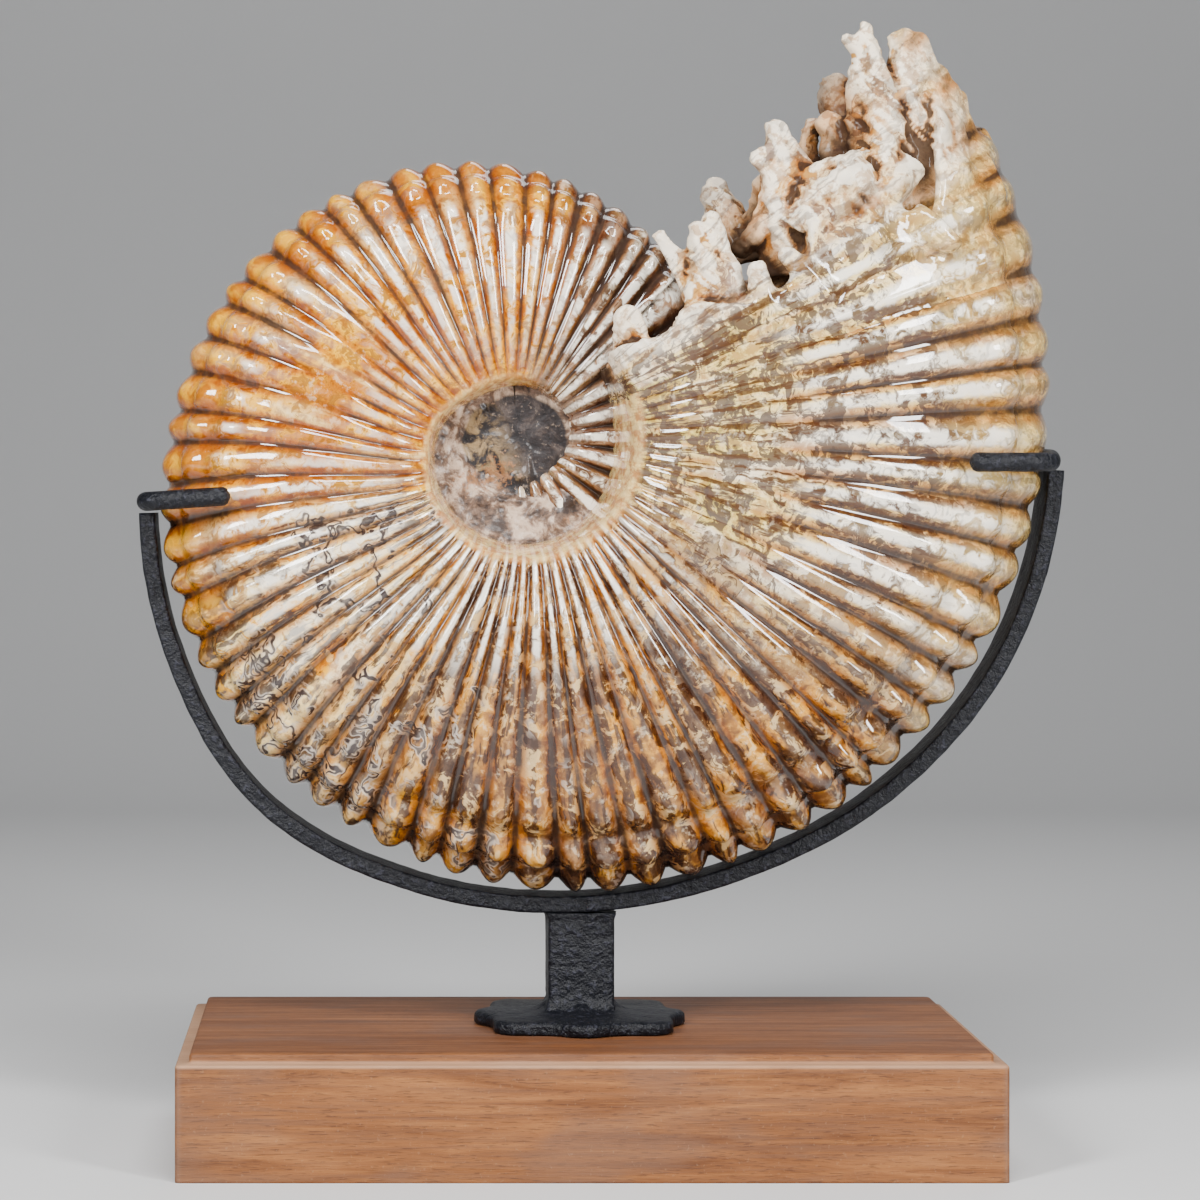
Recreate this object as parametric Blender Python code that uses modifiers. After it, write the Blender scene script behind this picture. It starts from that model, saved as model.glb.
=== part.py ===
"""A ribbed Douvilleiceras ammonite held in a black steel cradle on a stepped wooden plinth.

Metres, +Z up. The origin is the middle of the plinth's underside. The front of the object faces -Y, and the
shell is coiled in the XZ plane about an axis along Y. Spiral angles are in degrees, counterclockwise from +X
as seen from the front, and they go on past 360 towards the broken end of the shell.
"""

import math

import bmesh
import bpy
import numpy as np
from mathutils import Matrix, Vector

CLEARANCE = 0.0003

# Wooden plinth: a block with a rebated top edge
PLINTH_WIDTH = 0.3048
PLINTH_DEPTH = 0.165
PLINTH_LEDGE_HEIGHT = 0.043
PLINTH_STEP_HEIGHT = 0.0035
PLINTH_STEP_INSET = 0.005
PLINTH_EDGE_RADIUS = 0.0012

# Forged base plate: a rosette of eight low lobes, the four corner ones longer
PLATE_RADIUS = 0.0400
PLATE_LOBE = 0.0026
PLATE_CORNER = 0.0018
PLATE_THICKNESS = 0.0053
PLATE_SIDES = 56

# Square post with a weld fillet at each end
POST_WIDTH = 0.0254
POST_TOP = 0.0904
WELD_SPREAD = 0.0040
WELD_HEIGHT = 0.0036
TOP_WELD_SPREAD = 0.0016

# Cradle: a flat bar bent to the outline of the shell. Outer radius by angle about the cradle's centre
CRADLE_CENTRE = (0.0009, 0.2607)
CRADLE_RADII = (
    (185.6, 0.1717),
    (204.0, 0.1759),
    (226.0, 0.1808),
    (248.0, 0.1748),
    (270.0, 0.1699),
    (292.0, 0.1689),
    (314.0, 0.1737),
    (336.0, 0.1800),
    (360.0, 0.1846),
)
BAR_THICKNESS = 0.00635
BAR_WIDTH = 0.0254
BAR_STATIONS = 37

# Forks: round rod bent over each end of the cradle. Corners from the front tip to the back one
ROD_RADIUS = 0.0036
FORK_BEND_RADIUS = 0.0075
FORK_BEND_STEPS = 5
LEFT_FORK = (
    (-0.1335, -0.0446, 0.2508),
    (-0.1653, -0.0446, 0.2487),
    (-0.1668, 0.0, 0.2487),
    (-0.1653, 0.0446, 0.2487),
    (-0.1335, 0.0446, 0.2508),
)
RIGHT_FORK = (
    (0.1412, -0.0605, 0.2633),
    (0.1712, -0.0605, 0.2633),
    (0.1825, 0.0, 0.2653),
    (0.1712, 0.0605, 0.2672),
    (0.1412, 0.0605, 0.2672),
)

# Shell spiral: radius at the rib crests by angle. Inside the first angle it dwindles by an even share
SHELL_CENTRE = (-0.0243, 0.2732)
CREST_RADII = (
    (92.0, 0.1061),
    (130.0, 0.1190),
    (168.0, 0.1316),
    (204.0, 0.1462),
    (240.0, 0.1610),
    (282.0, 0.1780),
    (325.0, 0.1930),
    (368.0, 0.2076),
    (415.0, 0.2254),
)
INNER_GROWTH_PER_DEGREE = 0.0034
THICKNESS_RATIO = 0.323
WHORL = 360.0

# Rim of the umbilicus: radius by angle
RIM_RADII = (
    (45.0, 0.0212),
    (90.0, 0.0232),
    (140.0, 0.0255),
    (172.0, 0.0300),
    (201.0, 0.0368),
    (238.0, 0.0420),
    (270.0, 0.0446),
    (320.0, 0.0450),
    (360.0, 0.0440),
    (415.0, 0.0430),
)
INNER_RIM_RATIO = 0.27

# Half section of the whorl from the outer edge to the wall of the umbilicus: station, share of the way
# from the rim to the outer edge, and share of the half thickness
SECTION = (
    (0.00, 1.000, 0.000),
    (0.08, 0.992, 0.180),
    (0.17, 0.965, 0.380),
    (0.26, 0.915, 0.570),
    (0.36, 0.835, 0.735),
    (0.48, 0.700, 0.875),
    (0.62, 0.520, 0.965),
    (0.76, 0.320, 1.000),
    (0.88, 0.140, 0.965),
    (0.95, 0.040, 0.880),
    (1.00, 0.000, 0.800),
    (1.07, -0.025, 0.600),
    (1.20, -0.045, 0.250),
)
SECTION_ROWS = (0.0, 0.07, 0.14, 0.21, 0.29, 0.40, 0.58, 0.80, 0.95, 1.05, 1.20)
INNER_ROWS = (0.0, 0.30, 0.70, 0.90, 1.00, 1.20)

# Ribs: the angle of each numbered crest, and the depth of the valleys by station at the shell's full size
RIB_ANGLES = (
    (-7.0, 45.0),
    (0.0, 92.0),
    (14.0, 184.5),
    (22.0, 226.8),
    (37.0, 297.2),
    (44.0, 328.8),
    (50.0, 360.0),
    (56.0, 392.8),
    (60.0, 414.5),
)
RIB_DEPTHS = (
    (0.00, 0.0050),
    (0.20, 0.0050),
    (0.40, 0.0036),
    (0.62, 0.0024),
    (0.85, 0.0018),
    (0.97, 0.0008),
    (1.20, 0.0),
)
FULL_RADIUS = 0.200
KNOB_DROP = 0.0014
KNOB_ROWS = (0.0, 0.14, 0.29)
FIRST_OUTER_RIB = -7.0
LAST_OUTER_RIB = 56.5
FIRST_INNER_RIB = -52.0
LAST_INNER_RIB = -4.0
INNER_DEGREES_PER_RIB = 7.2
INNER_SHRINK = 0.05
DORSAL_SHRINK = 0.70

# Dark filling in the middle of the umbilicus
PLUG_RADIUS = 0.0235
PLUG_HALF_DEPTH = 0.0105

# Fingers of the broken septum: section station, side (-1 front, 1 back), tip angle, base radius and lean
FINGER_ROOT_ANGLE = 386.0
FINGER_SIDES = 6
FINGER_TIP_SHARE = 0.34
FINGERS = (
    (0.97, -1, 409.0, 0.0070),
    (0.86, -1, 413.5, 0.0075),
    (0.74, -1, 412.5, 0.0080),
    (0.60, -1, 410.5, 0.0100),
    (0.51, -1, 409.0, 0.0075),
    (0.38, -1, 407.0, 0.0090),
    (0.28, -1, 410.5, 0.0095),
    (0.19, -1, 409.5, 0.0090),
    (0.08, -1, 405.0, 0.0095),
    (0.00, 1, 402.0, 0.0095),
    (0.12, 1, 404.5, 0.0090),
    (0.23, 1, 408.5, 0.0100),
    (0.36, 1, 406.0, 0.0080),
    (0.50, 1, 410.0, 0.0100),
    (0.66, 1, 409.5, 0.0080),
    (0.82, 1, 411.5, 0.0080),
    (0.96, 1, 407.0, 0.0070),
)

WOOD = (0.36, 0.21, 0.13)
STEEL = (0.025, 0.026, 0.030)
FOSSIL = (0.62, 0.45, 0.26)

PLINTH_TOP = PLINTH_LEDGE_HEIGHT + PLINTH_STEP_HEIGHT
PLATE_TOP = PLINTH_TOP + CLEARANCE + PLATE_THICKNESS


def through(points, at):
    """The smooth curve through (x, y) points, read at x: cubics that share their slopes where they meet."""
    xs, ys = np.array(points, float).T
    at = np.asarray(at, float)
    slopes = np.gradient(ys, xs)
    i = np.clip(np.searchsorted(xs, at) - 1, 0, len(xs) - 2)
    step = xs[i + 1] - xs[i]
    t = np.clip((at - xs[i]) / step, 0, 1)
    start = (2 * t**3 - 3 * t**2 + 1) * ys[i] + (t**3 - 2 * t**2 + t) * step * slopes[i]
    end = (3 * t**2 - 2 * t**3) * ys[i + 1] + (t**3 - t**2) * step * slopes[i + 1]
    return start + end


def clear_scene():
    for obj in list(bpy.data.objects):
        bpy.data.objects.remove(obj)


def make_collections():
    model = bpy.data.collections.new("ammonite on stand")
    helpers = bpy.data.collections.new("joined pieces")
    for collection in (model, helpers):
        bpy.context.scene.collection.children.link(collection)
    return model, helpers


def make_material(name, colour, roughness, metallic=0.0):
    material = bpy.data.materials.new(name)
    material.use_nodes = True
    shader = material.node_tree.nodes["Principled BSDF"]
    shader.inputs["Base Color"].default_value = (*colour, 1.0)
    shader.inputs["Roughness"].default_value = roughness
    shader.inputs["Metallic"].default_value = metallic
    return material


def add_mesh(name, shape, collection, material=None):
    """An object from a bmesh, with its faces turned outwards."""
    bmesh.ops.recalc_face_normals(shape, faces=shape.faces)
    mesh = bpy.data.meshes.new(name)
    shape.to_mesh(mesh)
    shape.free()
    obj = bpy.data.objects.new(name, mesh)
    collection.objects.link(obj)
    if material:
        mesh.materials.append(material)
    return obj


def hide_helper(obj):
    obj.hide_render = True
    obj.display_type = "WIRE"


def add_box(name, low, high, collection, material=None):
    shape = bmesh.new()
    bmesh.ops.create_cube(shape, size=1.0)
    low, high = Vector(low), Vector(high)
    size = Matrix.Diagonal((*(high - low), 1.0))
    bmesh.ops.transform(shape, matrix=Matrix.Translation((low + high) / 2) @ size, verts=shape.verts)
    return add_mesh(name, shape, collection, material)


def join_with(obj, helper):
    """obj joined with one helper object, which isn't shown."""
    hide_helper(helper)
    union = obj.modifiers.new("join " + helper.name, "BOOLEAN")
    union.operation = "UNION"
    union.object = helper


def add_plinth(model, helpers, wood):
    """The block, with the raised panel that its rebated edge leaves."""
    half_x, half_y = PLINTH_WIDTH / 2, PLINTH_DEPTH / 2
    block = add_box(
        "plinth", (-half_x, -half_y, 0), (half_x, half_y, PLINTH_LEDGE_HEIGHT), model, wood
    )
    inner_x, inner_y = half_x - PLINTH_STEP_INSET, half_y - PLINTH_STEP_INSET
    panel_foot = PLINTH_LEDGE_HEIGHT / 2
    panel = add_box(
        "plinth panel", (-inner_x, -inner_y, panel_foot), (inner_x, inner_y, PLINTH_TOP), helpers
    )
    join_with(block, panel)
    rounding = block.modifiers.new("worn edges", "BEVEL")
    rounding.width = PLINTH_EDGE_RADIUS
    rounding.segments = 2
    rounding.limit_method = "ANGLE"


def plate_outline():
    """Rosette: a circle whose radius rises at eight lobes, and a little more at the four corners."""
    turn = np.linspace(0, 2 * math.pi, PLATE_SIDES, endpoint=False)
    radius = PLATE_RADIUS + PLATE_LOBE * np.cos(8 * turn) - PLATE_CORNER * np.cos(4 * turn)
    return np.column_stack([radius * np.cos(turn), radius * np.sin(turn)])


def add_slab(name, outline, thickness, collection, material):
    """A flat outline, extruded to both sides of its plane."""
    curve = bpy.data.curves.new(name, "CURVE")
    curve.dimensions = "2D"
    curve.fill_mode = "BOTH"
    curve.extrude = thickness / 2
    spline = curve.splines.new("POLY")
    spline.points.add(len(outline) - 1)
    spline.points.foreach_set(
        "co", np.column_stack([outline, np.zeros(len(outline)), np.ones(len(outline))]).ravel()
    )
    spline.use_cyclic_u = True
    obj = bpy.data.objects.new(name, curve)
    collection.objects.link(obj)
    curve.materials.append(material)
    return obj


def add_base_plate(model, steel):
    plate = add_slab("base_plate", plate_outline(), PLATE_THICKNESS, model, steel)
    plate.location.z = PLINTH_TOP + CLEARANCE + PLATE_THICKNESS / 2


def add_square_frustum(name, foot, top, low_width, high_width, collection):
    """Four-sided cone, its sides square to X and Y."""
    shape = bmesh.new()
    bmesh.ops.create_cone(
        shape,
        cap_ends=True,
        segments=4,
        radius1=low_width / math.sqrt(2),
        radius2=high_width / math.sqrt(2),
        depth=top - foot,
    )
    place = Matrix.Translation((0, 0, (foot + top) / 2)) @ Matrix.Rotation(math.pi / 4, 4, "Z")
    bmesh.ops.transform(shape, matrix=place, verts=shape.verts)
    return add_mesh(name, shape, collection)


def add_post(model, helpers, steel):
    """The square post, with the weld that spreads over the plate and the one under the cradle."""
    half = POST_WIDTH / 2
    foot = PLATE_TOP + CLEARANCE
    post = add_box("post", (-half, -half, foot), (half, half, POST_TOP), model, steel)
    low_weld = add_square_frustum(
        "low weld", foot, foot + WELD_HEIGHT, POST_WIDTH + 2 * WELD_SPREAD, POST_WIDTH, helpers
    )
    high_weld = add_square_frustum(
        "high weld", POST_TOP - WELD_HEIGHT, POST_TOP, POST_WIDTH, POST_WIDTH + 2 * TOP_WELD_SPREAD, helpers
    )
    join_with(post, low_weld)
    join_with(post, high_weld)


def cradle_outline():
    """The bar seen from the front: the outer edge, then the inner one a bar's thickness inside it."""
    angles = np.linspace(CRADLE_RADII[0][0], CRADLE_RADII[-1][0], BAR_STATIONS)
    radius = through(CRADLE_RADII, angles)
    turn = np.radians(angles)
    outer = np.column_stack([radius * np.cos(turn), radius * np.sin(turn)]) + CRADLE_CENTRE
    along = np.gradient(outer, axis=0)
    along /= np.linalg.norm(along, axis=1)[:, None]
    inwards = np.column_stack([-along[:, 1], along[:, 0]])
    return np.vstack([outer, (outer + BAR_THICKNESS * inwards)[::-1]])


def add_cradle(model, steel):
    cradle = add_slab("cradle_bar", cradle_outline(), BAR_WIDTH, model, steel)
    cradle.rotation_euler.x = math.pi / 2


def rounded(corners):
    """Straight runs between the corners, with a short parabola in place of each one between the ends."""
    corners = [Vector(corner) for corner in corners]
    points = [corners[0]]
    for before, corner, after in zip(corners, corners[1:], corners[2:]):
        start = corner + FORK_BEND_RADIUS * (before - corner).normalized()
        end = corner + FORK_BEND_RADIUS * (after - corner).normalized()
        for t in np.linspace(0, 1, FORK_BEND_STEPS):
            points.append((1 - t) ** 2 * start + 2 * t * (1 - t) * corner + t**2 * end)
    return points + [corners[-1]]


def add_fork(name, corners, model, steel):
    """One rod: the front prong, the arm over the end of the cradle, and the back prong."""
    points = np.array(rounded(corners))
    curve = bpy.data.curves.new(name, "CURVE")
    curve.dimensions = "3D"
    curve.bevel_depth = ROD_RADIUS
    curve.bevel_resolution = 2
    curve.use_fill_caps = True
    spline = curve.splines.new("POLY")
    spline.points.add(len(points) - 1)
    spline.points.foreach_set("co", np.column_stack([points, np.ones(len(points))]).ravel())
    obj = bpy.data.objects.new(name, curve)
    model.objects.link(obj)
    curve.materials.append(steel)


def crest_radius(angle):
    """The listed radii, and before the first of them a spiral that shrinks by the same share each degree."""
    first_angle, first_radius = CREST_RADII[0]
    listed = through(CREST_RADII, np.maximum(angle, first_angle))
    inside = first_radius * np.exp(INNER_GROWTH_PER_DEGREE * (angle - first_angle))
    return np.where(angle < first_angle, inside, listed)


def rim_radius(angle):
    start = RIM_RADII[0][0]
    inside = INNER_RIM_RATIO * crest_radius(angle)
    blend = np.clip((angle - start + 45) / 45, 0, 1)
    return (1 - blend) * inside + blend * through(RIM_RADII, np.maximum(angle, start))


def rib_angle(rib):
    """The angle of a numbered rib. Those before the first listed one are evenly spaced."""
    first_rib, first_angle = RIB_ANGLES[0]
    listed = through(RIB_ANGLES, np.maximum(rib, first_rib))
    return np.where(rib < first_rib, first_angle + INNER_DEGREES_PER_RIB * (rib - first_rib), listed)


def valley_share(rib):
    """0 on a crest and 1 halfway between two."""
    return 0.5 - 0.5 * np.cos(2 * math.pi * rib)


def knob_share(rows):
    """1 on a rib between its knobs, and 0 at a knob's top and on the flank, where ribs are smooth."""
    rows = np.asarray(rows)
    on_knob = np.isin(rows, KNOB_ROWS)
    return np.where(on_knob | (rows > 0.45), 0.0, 1.0)


def half_rings(ribs, rows, shrink=0.0):
    """Radius and distance from the middle plane at each rib number and section row."""
    angle = rib_angle(ribs)[:, None]
    rows = np.array(rows)[None, :]
    crest = crest_radius(angle) * (1 - shrink)
    rim = rim_radius(angle) * (1 - shrink)
    share = through([(s, q) for s, q, _ in SECTION], rows)
    half = through([(s, w) for s, _, w in SECTION], rows)
    radius = rim + (crest - rim) * share
    away = THICKNESS_RATIO * crest * half
    size = crest / FULL_RADIUS
    depth = size * through(RIB_DEPTHS, rows) * valley_share(ribs)[:, None]
    depth = depth + size * KNOB_DROP * knob_share(rows) * (1 - valley_share(ribs)[:, None])
    out_r, out_y = np.gradient(away, axis=1), -np.gradient(radius, axis=1)
    length = np.hypot(out_r, out_y)
    return radius - depth * out_r / length, np.maximum(away - depth * out_y / length, 0)


def whorl_rings(ribs, rows, shrink=0.0):
    """Closed rings of points round the whorl, one for each rib number: the front half section, the point
    buried in the whorl before, then the back half section."""
    radius, away = half_rings(ribs, rows, shrink)
    away[:, 0] = 0
    angle = rib_angle(ribs)[:, None]
    buried = crest_radius(angle - WHORL) * DORSAL_SHRINK
    ring_radius = np.hstack([radius, buried, radius[:, :0:-1]])
    ring_y = np.hstack([-away, np.zeros_like(buried), away[:, :0:-1]])
    turn = np.radians(angle)
    x = SHELL_CENTRE[0] + ring_radius * np.cos(turn)
    z = SHELL_CENTRE[1] + ring_radius * np.sin(turn)
    return np.stack([x, ring_y, z], axis=-1)


def loft(rings):
    """A closed skin over the rings, each joined to the next, with a face at either end."""
    shape = bmesh.new()
    rows = [[shape.verts.new(point) for point in ring] for ring in rings]
    count = len(rows[0])
    for row, following in zip(rows, rows[1:]):
        for i in range(count):
            j = (i + 1) % count
            shape.faces.new((row[i], row[j], following[j], following[i]))
    shape.faces.new(rows[0])
    shape.faces.new(rows[-1][::-1])
    return shape


def whorl_point(station, side, angle, inset):
    """A point of the whorl under its surface, in from it by a distance along the half section."""
    ribs = np.array([LAST_OUTER_RIB])
    crest, rim = float(crest_radius(angle)), float(rim_radius(angle))
    share = through([(s, q) for s, q, _ in SECTION], station)
    half = through([(s, w) for s, _, w in SECTION], station)
    radius = rim + (crest - rim) * float(share)
    away = THICKNESS_RATIO * crest * float(half)
    middle = 0.5 * (rim + crest)
    towards = Vector((middle - radius, -away)).normalized() * inset
    radius, away = radius + towards[0], away + towards[1]
    turn = math.radians(angle)
    return Vector(
        (SHELL_CENTRE[0] + radius * math.cos(turn), side * away, SHELL_CENTRE[1] + radius * math.sin(turn))
    )


def add_fingers(helpers):
    """Blunt cones that stand out of the broken end along the spiral, where the folded septum met the shell."""
    group = bpy.data.collections.new("fingers")
    helpers.children.link(group)
    for number, (station, side, tip_angle, radius) in enumerate(FINGERS):
        root = whorl_point(station, side, FINGER_ROOT_ANGLE, radius * 1.25)
        tip = whorl_point(station, side, tip_angle, radius * 0.9)
        shape = bmesh.new()
        bmesh.ops.create_cone(
            shape,
            cap_ends=True,
            segments=FINGER_SIDES,
            radius1=radius,
            radius2=radius * FINGER_TIP_SHARE,
            depth=(tip - root).length,
        )
        turn = (tip - root).to_track_quat("Z", "Y").to_matrix().to_4x4()
        place = Matrix.Translation((root + tip) / 2) @ turn
        bmesh.ops.transform(shape, matrix=place, verts=shape.verts)
        hide_helper(add_mesh(f"finger {number}", shape, group))
    return group


def add_plug(helpers):
    """The filling in the middle of the umbilicus, seen from both sides."""
    shape = bmesh.new()
    bmesh.ops.create_cone(
        shape, cap_ends=True, segments=24, radius1=PLUG_RADIUS, radius2=PLUG_RADIUS, depth=2 * PLUG_HALF_DEPTH
    )
    place = Matrix.Translation((SHELL_CENTRE[0], 0, SHELL_CENTRE[1])) @ Matrix.Rotation(math.pi / 2, 4, "X")
    bmesh.ops.transform(shape, matrix=place, verts=shape.verts)
    return add_mesh("plug", shape, helpers)


def add_ammonite(model, helpers, fossil):
    """One solid: the last whorl, the whorl before it, the filled middle and the fingers of the broken end."""
    outer_ribs = np.arange(FIRST_OUTER_RIB, LAST_OUTER_RIB + 0.25, 0.5)
    inner_ribs = np.arange(FIRST_INNER_RIB, LAST_INNER_RIB + 0.25, 0.5)
    ammonite = add_mesh("ammonite", loft(whorl_rings(outer_ribs, SECTION_ROWS)), model, fossil)
    fingers = ammonite.modifiers.new("join fingers", "BOOLEAN")
    fingers.operation = "UNION"
    fingers.operand_type = "COLLECTION"
    fingers.collection = add_fingers(helpers)
    inner = add_mesh("inner whorl", loft(whorl_rings(inner_ribs, INNER_ROWS, INNER_SHRINK)), helpers)
    join_with(ammonite, inner)
    join_with(ammonite, add_plug(helpers))


def main():
    clear_scene()
    model, helpers = make_collections()
    wood = make_material("stained wood", WOOD, 0.55)
    steel = make_material("black painted steel", STEEL, 0.5, 0.2)
    fossil = make_material("polished fossil", FOSSIL, 0.2)
    add_plinth(model, helpers, wood)
    add_base_plate(model, steel)
    add_post(model, helpers, steel)
    add_cradle(model, steel)
    add_fork("left_fork", LEFT_FORK, model, steel)
    add_fork("right_fork", RIGHT_FORK, model, steel)
    add_ammonite(model, helpers, fossil)


main()
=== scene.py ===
import math

import bpy
import numpy as np
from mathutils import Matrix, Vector


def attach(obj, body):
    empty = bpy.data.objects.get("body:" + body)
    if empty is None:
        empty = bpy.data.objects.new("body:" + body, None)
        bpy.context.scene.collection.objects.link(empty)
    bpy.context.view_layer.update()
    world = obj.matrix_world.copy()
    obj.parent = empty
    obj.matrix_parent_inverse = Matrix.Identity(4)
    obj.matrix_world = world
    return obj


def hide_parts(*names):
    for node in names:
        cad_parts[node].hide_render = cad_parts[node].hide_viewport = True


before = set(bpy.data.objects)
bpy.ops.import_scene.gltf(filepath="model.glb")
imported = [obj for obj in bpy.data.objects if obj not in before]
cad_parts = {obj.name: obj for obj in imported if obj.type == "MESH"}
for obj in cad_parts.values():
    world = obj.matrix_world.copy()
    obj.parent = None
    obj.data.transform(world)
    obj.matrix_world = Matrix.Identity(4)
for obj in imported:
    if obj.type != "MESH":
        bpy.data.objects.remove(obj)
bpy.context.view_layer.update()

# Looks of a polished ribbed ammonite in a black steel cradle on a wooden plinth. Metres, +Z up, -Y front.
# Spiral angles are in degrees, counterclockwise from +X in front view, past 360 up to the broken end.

MM = 0.001

# Camera: level, square to the object, with the lens shifted down and to the right
CAMERA_PLACE = (-0.0804, -1.4135, 0.2492)
CAMERA_LENS = 109.5
CAMERA_SENSOR = 36
CAMERA_SHIFT = (0.19, -0.0833)

# Lights: name, place, width and height, watts
LIGHTS = (
    ("left_box", (-0.8, -1.15, 0.86), (0.26, 0.56), 31),
    ("right_box", (0.85, -1.14, 0.7), (0.24, 0.56), 24),
    ("top_box", (0.05, -0.9, 1.22), (0.66, 0.18), 18),
    ("rear_box", (0.35, 1.1, 1.55), (0.9, 0.6), 7),
)
LIGHT_TARGET = (0, 0, 0.25)
SKY_COLOUR = (0.8, 0.87, 1, 1)
SKY_STRENGTH = 0.06
FLOOR_GREY = (0.64, 0.64, 0.64, 1)
SWEEP_START, SWEEP_RADIUS, SWEEP_TOP, SWEEP_FRONT, SWEEP_SIDE = 1.5, 1, 4, -4, 5

# Plinth
PLINTH_WIDTH, PLINTH_DEPTH, PLINTH_TOP = 0.3048, 0.165, 0.0465
LEDGE_WIDTH, LEDGE_HEIGHT = 0.005, 0.043
EDGE_RADIUS = 0.0012
PLINTH_CORNER = 0.0018

# Flange, post and cradle bar
FLANGE_RADIUS = 0.04
FLANGE_LOBE = 0.0026
FLANGE_CORNER = 0.0018
FLANGE_THICKNESS = 0.0053
PAINT_GAP = 0.0003
FLANGE_FOOT = PLINTH_TOP + PAINT_GAP
FLANGE_LEVELS = (
    (0.9, 0), (0.985, 0), (1, 0.0005), (1, 0.0028), (0.994, 0.0038), (0.972, 0.0046), (0.93, 0.0049),
    (0.8, 0.0051), (0.6, 0.0053), (0.46, 0.006), (0.38, 0.0072), (0.33, 0.009),
)
POST_WIDTH = 0.0254
POST_FOOT = FLANGE_FOOT + FLANGE_THICKNESS + PAINT_GAP
POST_TOP = 0.0904
POST_CORNER = 0.0016
CRADLE_CENTRE = (0.0009, 0.2607)
CRADLE_RADII = (
    (185.6, 0.1717), (204, 0.1759), (226, 0.1808), (248, 0.1748), (270, 0.1699), (292, 0.1689),
    (314, 0.1737), (336, 0.18), (360, 0.1846),
)
BAR_THICKNESS = 0.00635
BAR_WIDTH = 0.0254
BAR_CORNER = 0.0011
BAR_STEPS = 320
BAR_DENTS = (0.00016, 0.006)

# Forks of round rod: corners from the front tip to the back one
ROD_RADIUS = 0.0036
ROD_BEND = 0.0075
ROD_STEP, ROD_SIDES = 0.0012, 22
ROD_DENTS = (0.00012, 0.005)
LEFT_FORK = (
    (-0.1335, -0.0446, 0.2508), (-0.1653, -0.0446, 0.2487), (-0.1668, 0, 0.2487), (-0.1653, 0.0446, 0.2487),
    (-0.1335, 0.0446, 0.2508),
)
RIGHT_FORK = (
    (0.1412, -0.0605, 0.2633), (0.1712, -0.0605, 0.2633), (0.1825, 0, 0.2653), (0.1712, 0.0605, 0.2672),
    (0.1412, 0.0605, 0.2672),
)

# Shell spiral: radius at the rib crests, and the rim of the umbilicus, by angle
SHELL_CENTRE = (-0.0243, 0.2732)
CREST_RADII = (
    (92, 0.1061), (130, 0.119), (168, 0.1316), (204, 0.1462), (240, 0.161), (282, 0.178),
    (325, 0.193), (368, 0.2076), (415, 0.2254),
)
RIM_RADII = (
    (45, 0.0212), (90, 0.0225), (140, 0.0258), (172, 0.033), (201, 0.038), (238, 0.043),
    (270, 0.0457), (320, 0.045), (360, 0.043), (415, 0.047),
)
INNER_GROWTH_PER_DEGREE = 0.0034
INNER_RIM_RATIO = 0.27
THICKNESS_RATIO = 0.323
WHORL = 360
FULL_RADIUS = 0.2

# Half section of the whorl: station, share of the way from the rim to the outer edge, share of half thickness
SECTION = (
    (0, 1, 0), (0.08, 0.992, 0.18), (0.17, 0.965, 0.38), (0.26, 0.915, 0.57), (0.36, 0.835, 0.735),
    (0.48, 0.7, 0.875), (0.62, 0.52, 0.965), (0.76, 0.32, 1), (0.88, 0.14, 0.965), (0.95, 0.04, 0.88),
    (1, 0, 0.8), (1.07, -0.025, 0.6), (1.2, -0.045, 0.25),
)

# Ribs: the angle of each numbered crest, how far it leans back at the rim, and how deep the valleys are
RIB_ANGLES = (
    (-7, 45.5), (0, 92.4), (4, 120.6), (9, 152.5), (14, 184.5), (18, 209.3), (23, 236),
    (28, 261.8), (33, 286.8), (38, 310.8), (42, 329), (46, 349.6), (50, 370.5), (54, 391.5),
    (58, 413),
)
RIB_LEAN = (
    (45, 2), (90, 4), (140, 12), (165, 14), (200, 12), (240, 9), (270, 4), (300, 1),
    (330, 0), (415, 0),
)
VALLEY_BY_ANGLE = (
    (45, 2.4), (95, 3), (150, 3.7), (200, 4.1), (240, 5), (280, 5.4), (320, 4.6), (350, 3.8),
    (380, 3.2), (415, 3),
)
VALLEY_BY_STATION = (
    (0, 1), (0.22, 1), (0.36, 0.84), (0.5, 0.62), (0.64, 0.52), (0.8, 0.48), (0.92, 0.36), (1, 0.05),
    (1.2, 0),
)
CREST_POWER = ((0, 1.8), (0.25, 1.8), (0.45, 1.9), (0.65, 2), (0.9, 2.1), (1.2, 2.1))
KNOB_STATIONS = (
    (0.13, 0.055, 0.9), (0.222, 0.028, -2), (0.3, 0.034, 2), (0.368, 0.026, -1.8), (0.43, 0.045, 1.6),
)
FIRST_RIB, LAST_RIB = -7, 52
ROWS_PER_RIB = 11
STATION_LIMIT = 1.2
STATION_COUNT = 125

# Whorls seen inside the umbilicus
INNER_DEGREES_PER_RIB = 14.5
INNER_FIRST_ANGLE, INNER_LAST_ANGLE = -312, 66
INNER_ROWS_PER_RIB = 16
INNER_STATION_COUNT = 71
INNER_SHRINK = 0.03
INNER_GROOVE_DEPTH = 10 * MM

# Stone in the umbilicus: heights over the middle plane in millimetres, and where it is packed, by angle
CORE_HEIGHT, PACKED_HEIGHT = 16.5, 17.8
PACKED_MIDDLE, PACKED_FULL, PACKED_END = 230, 82, 116
FILLING_TURNS, FILLING_RINGS = 180, 44

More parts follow.
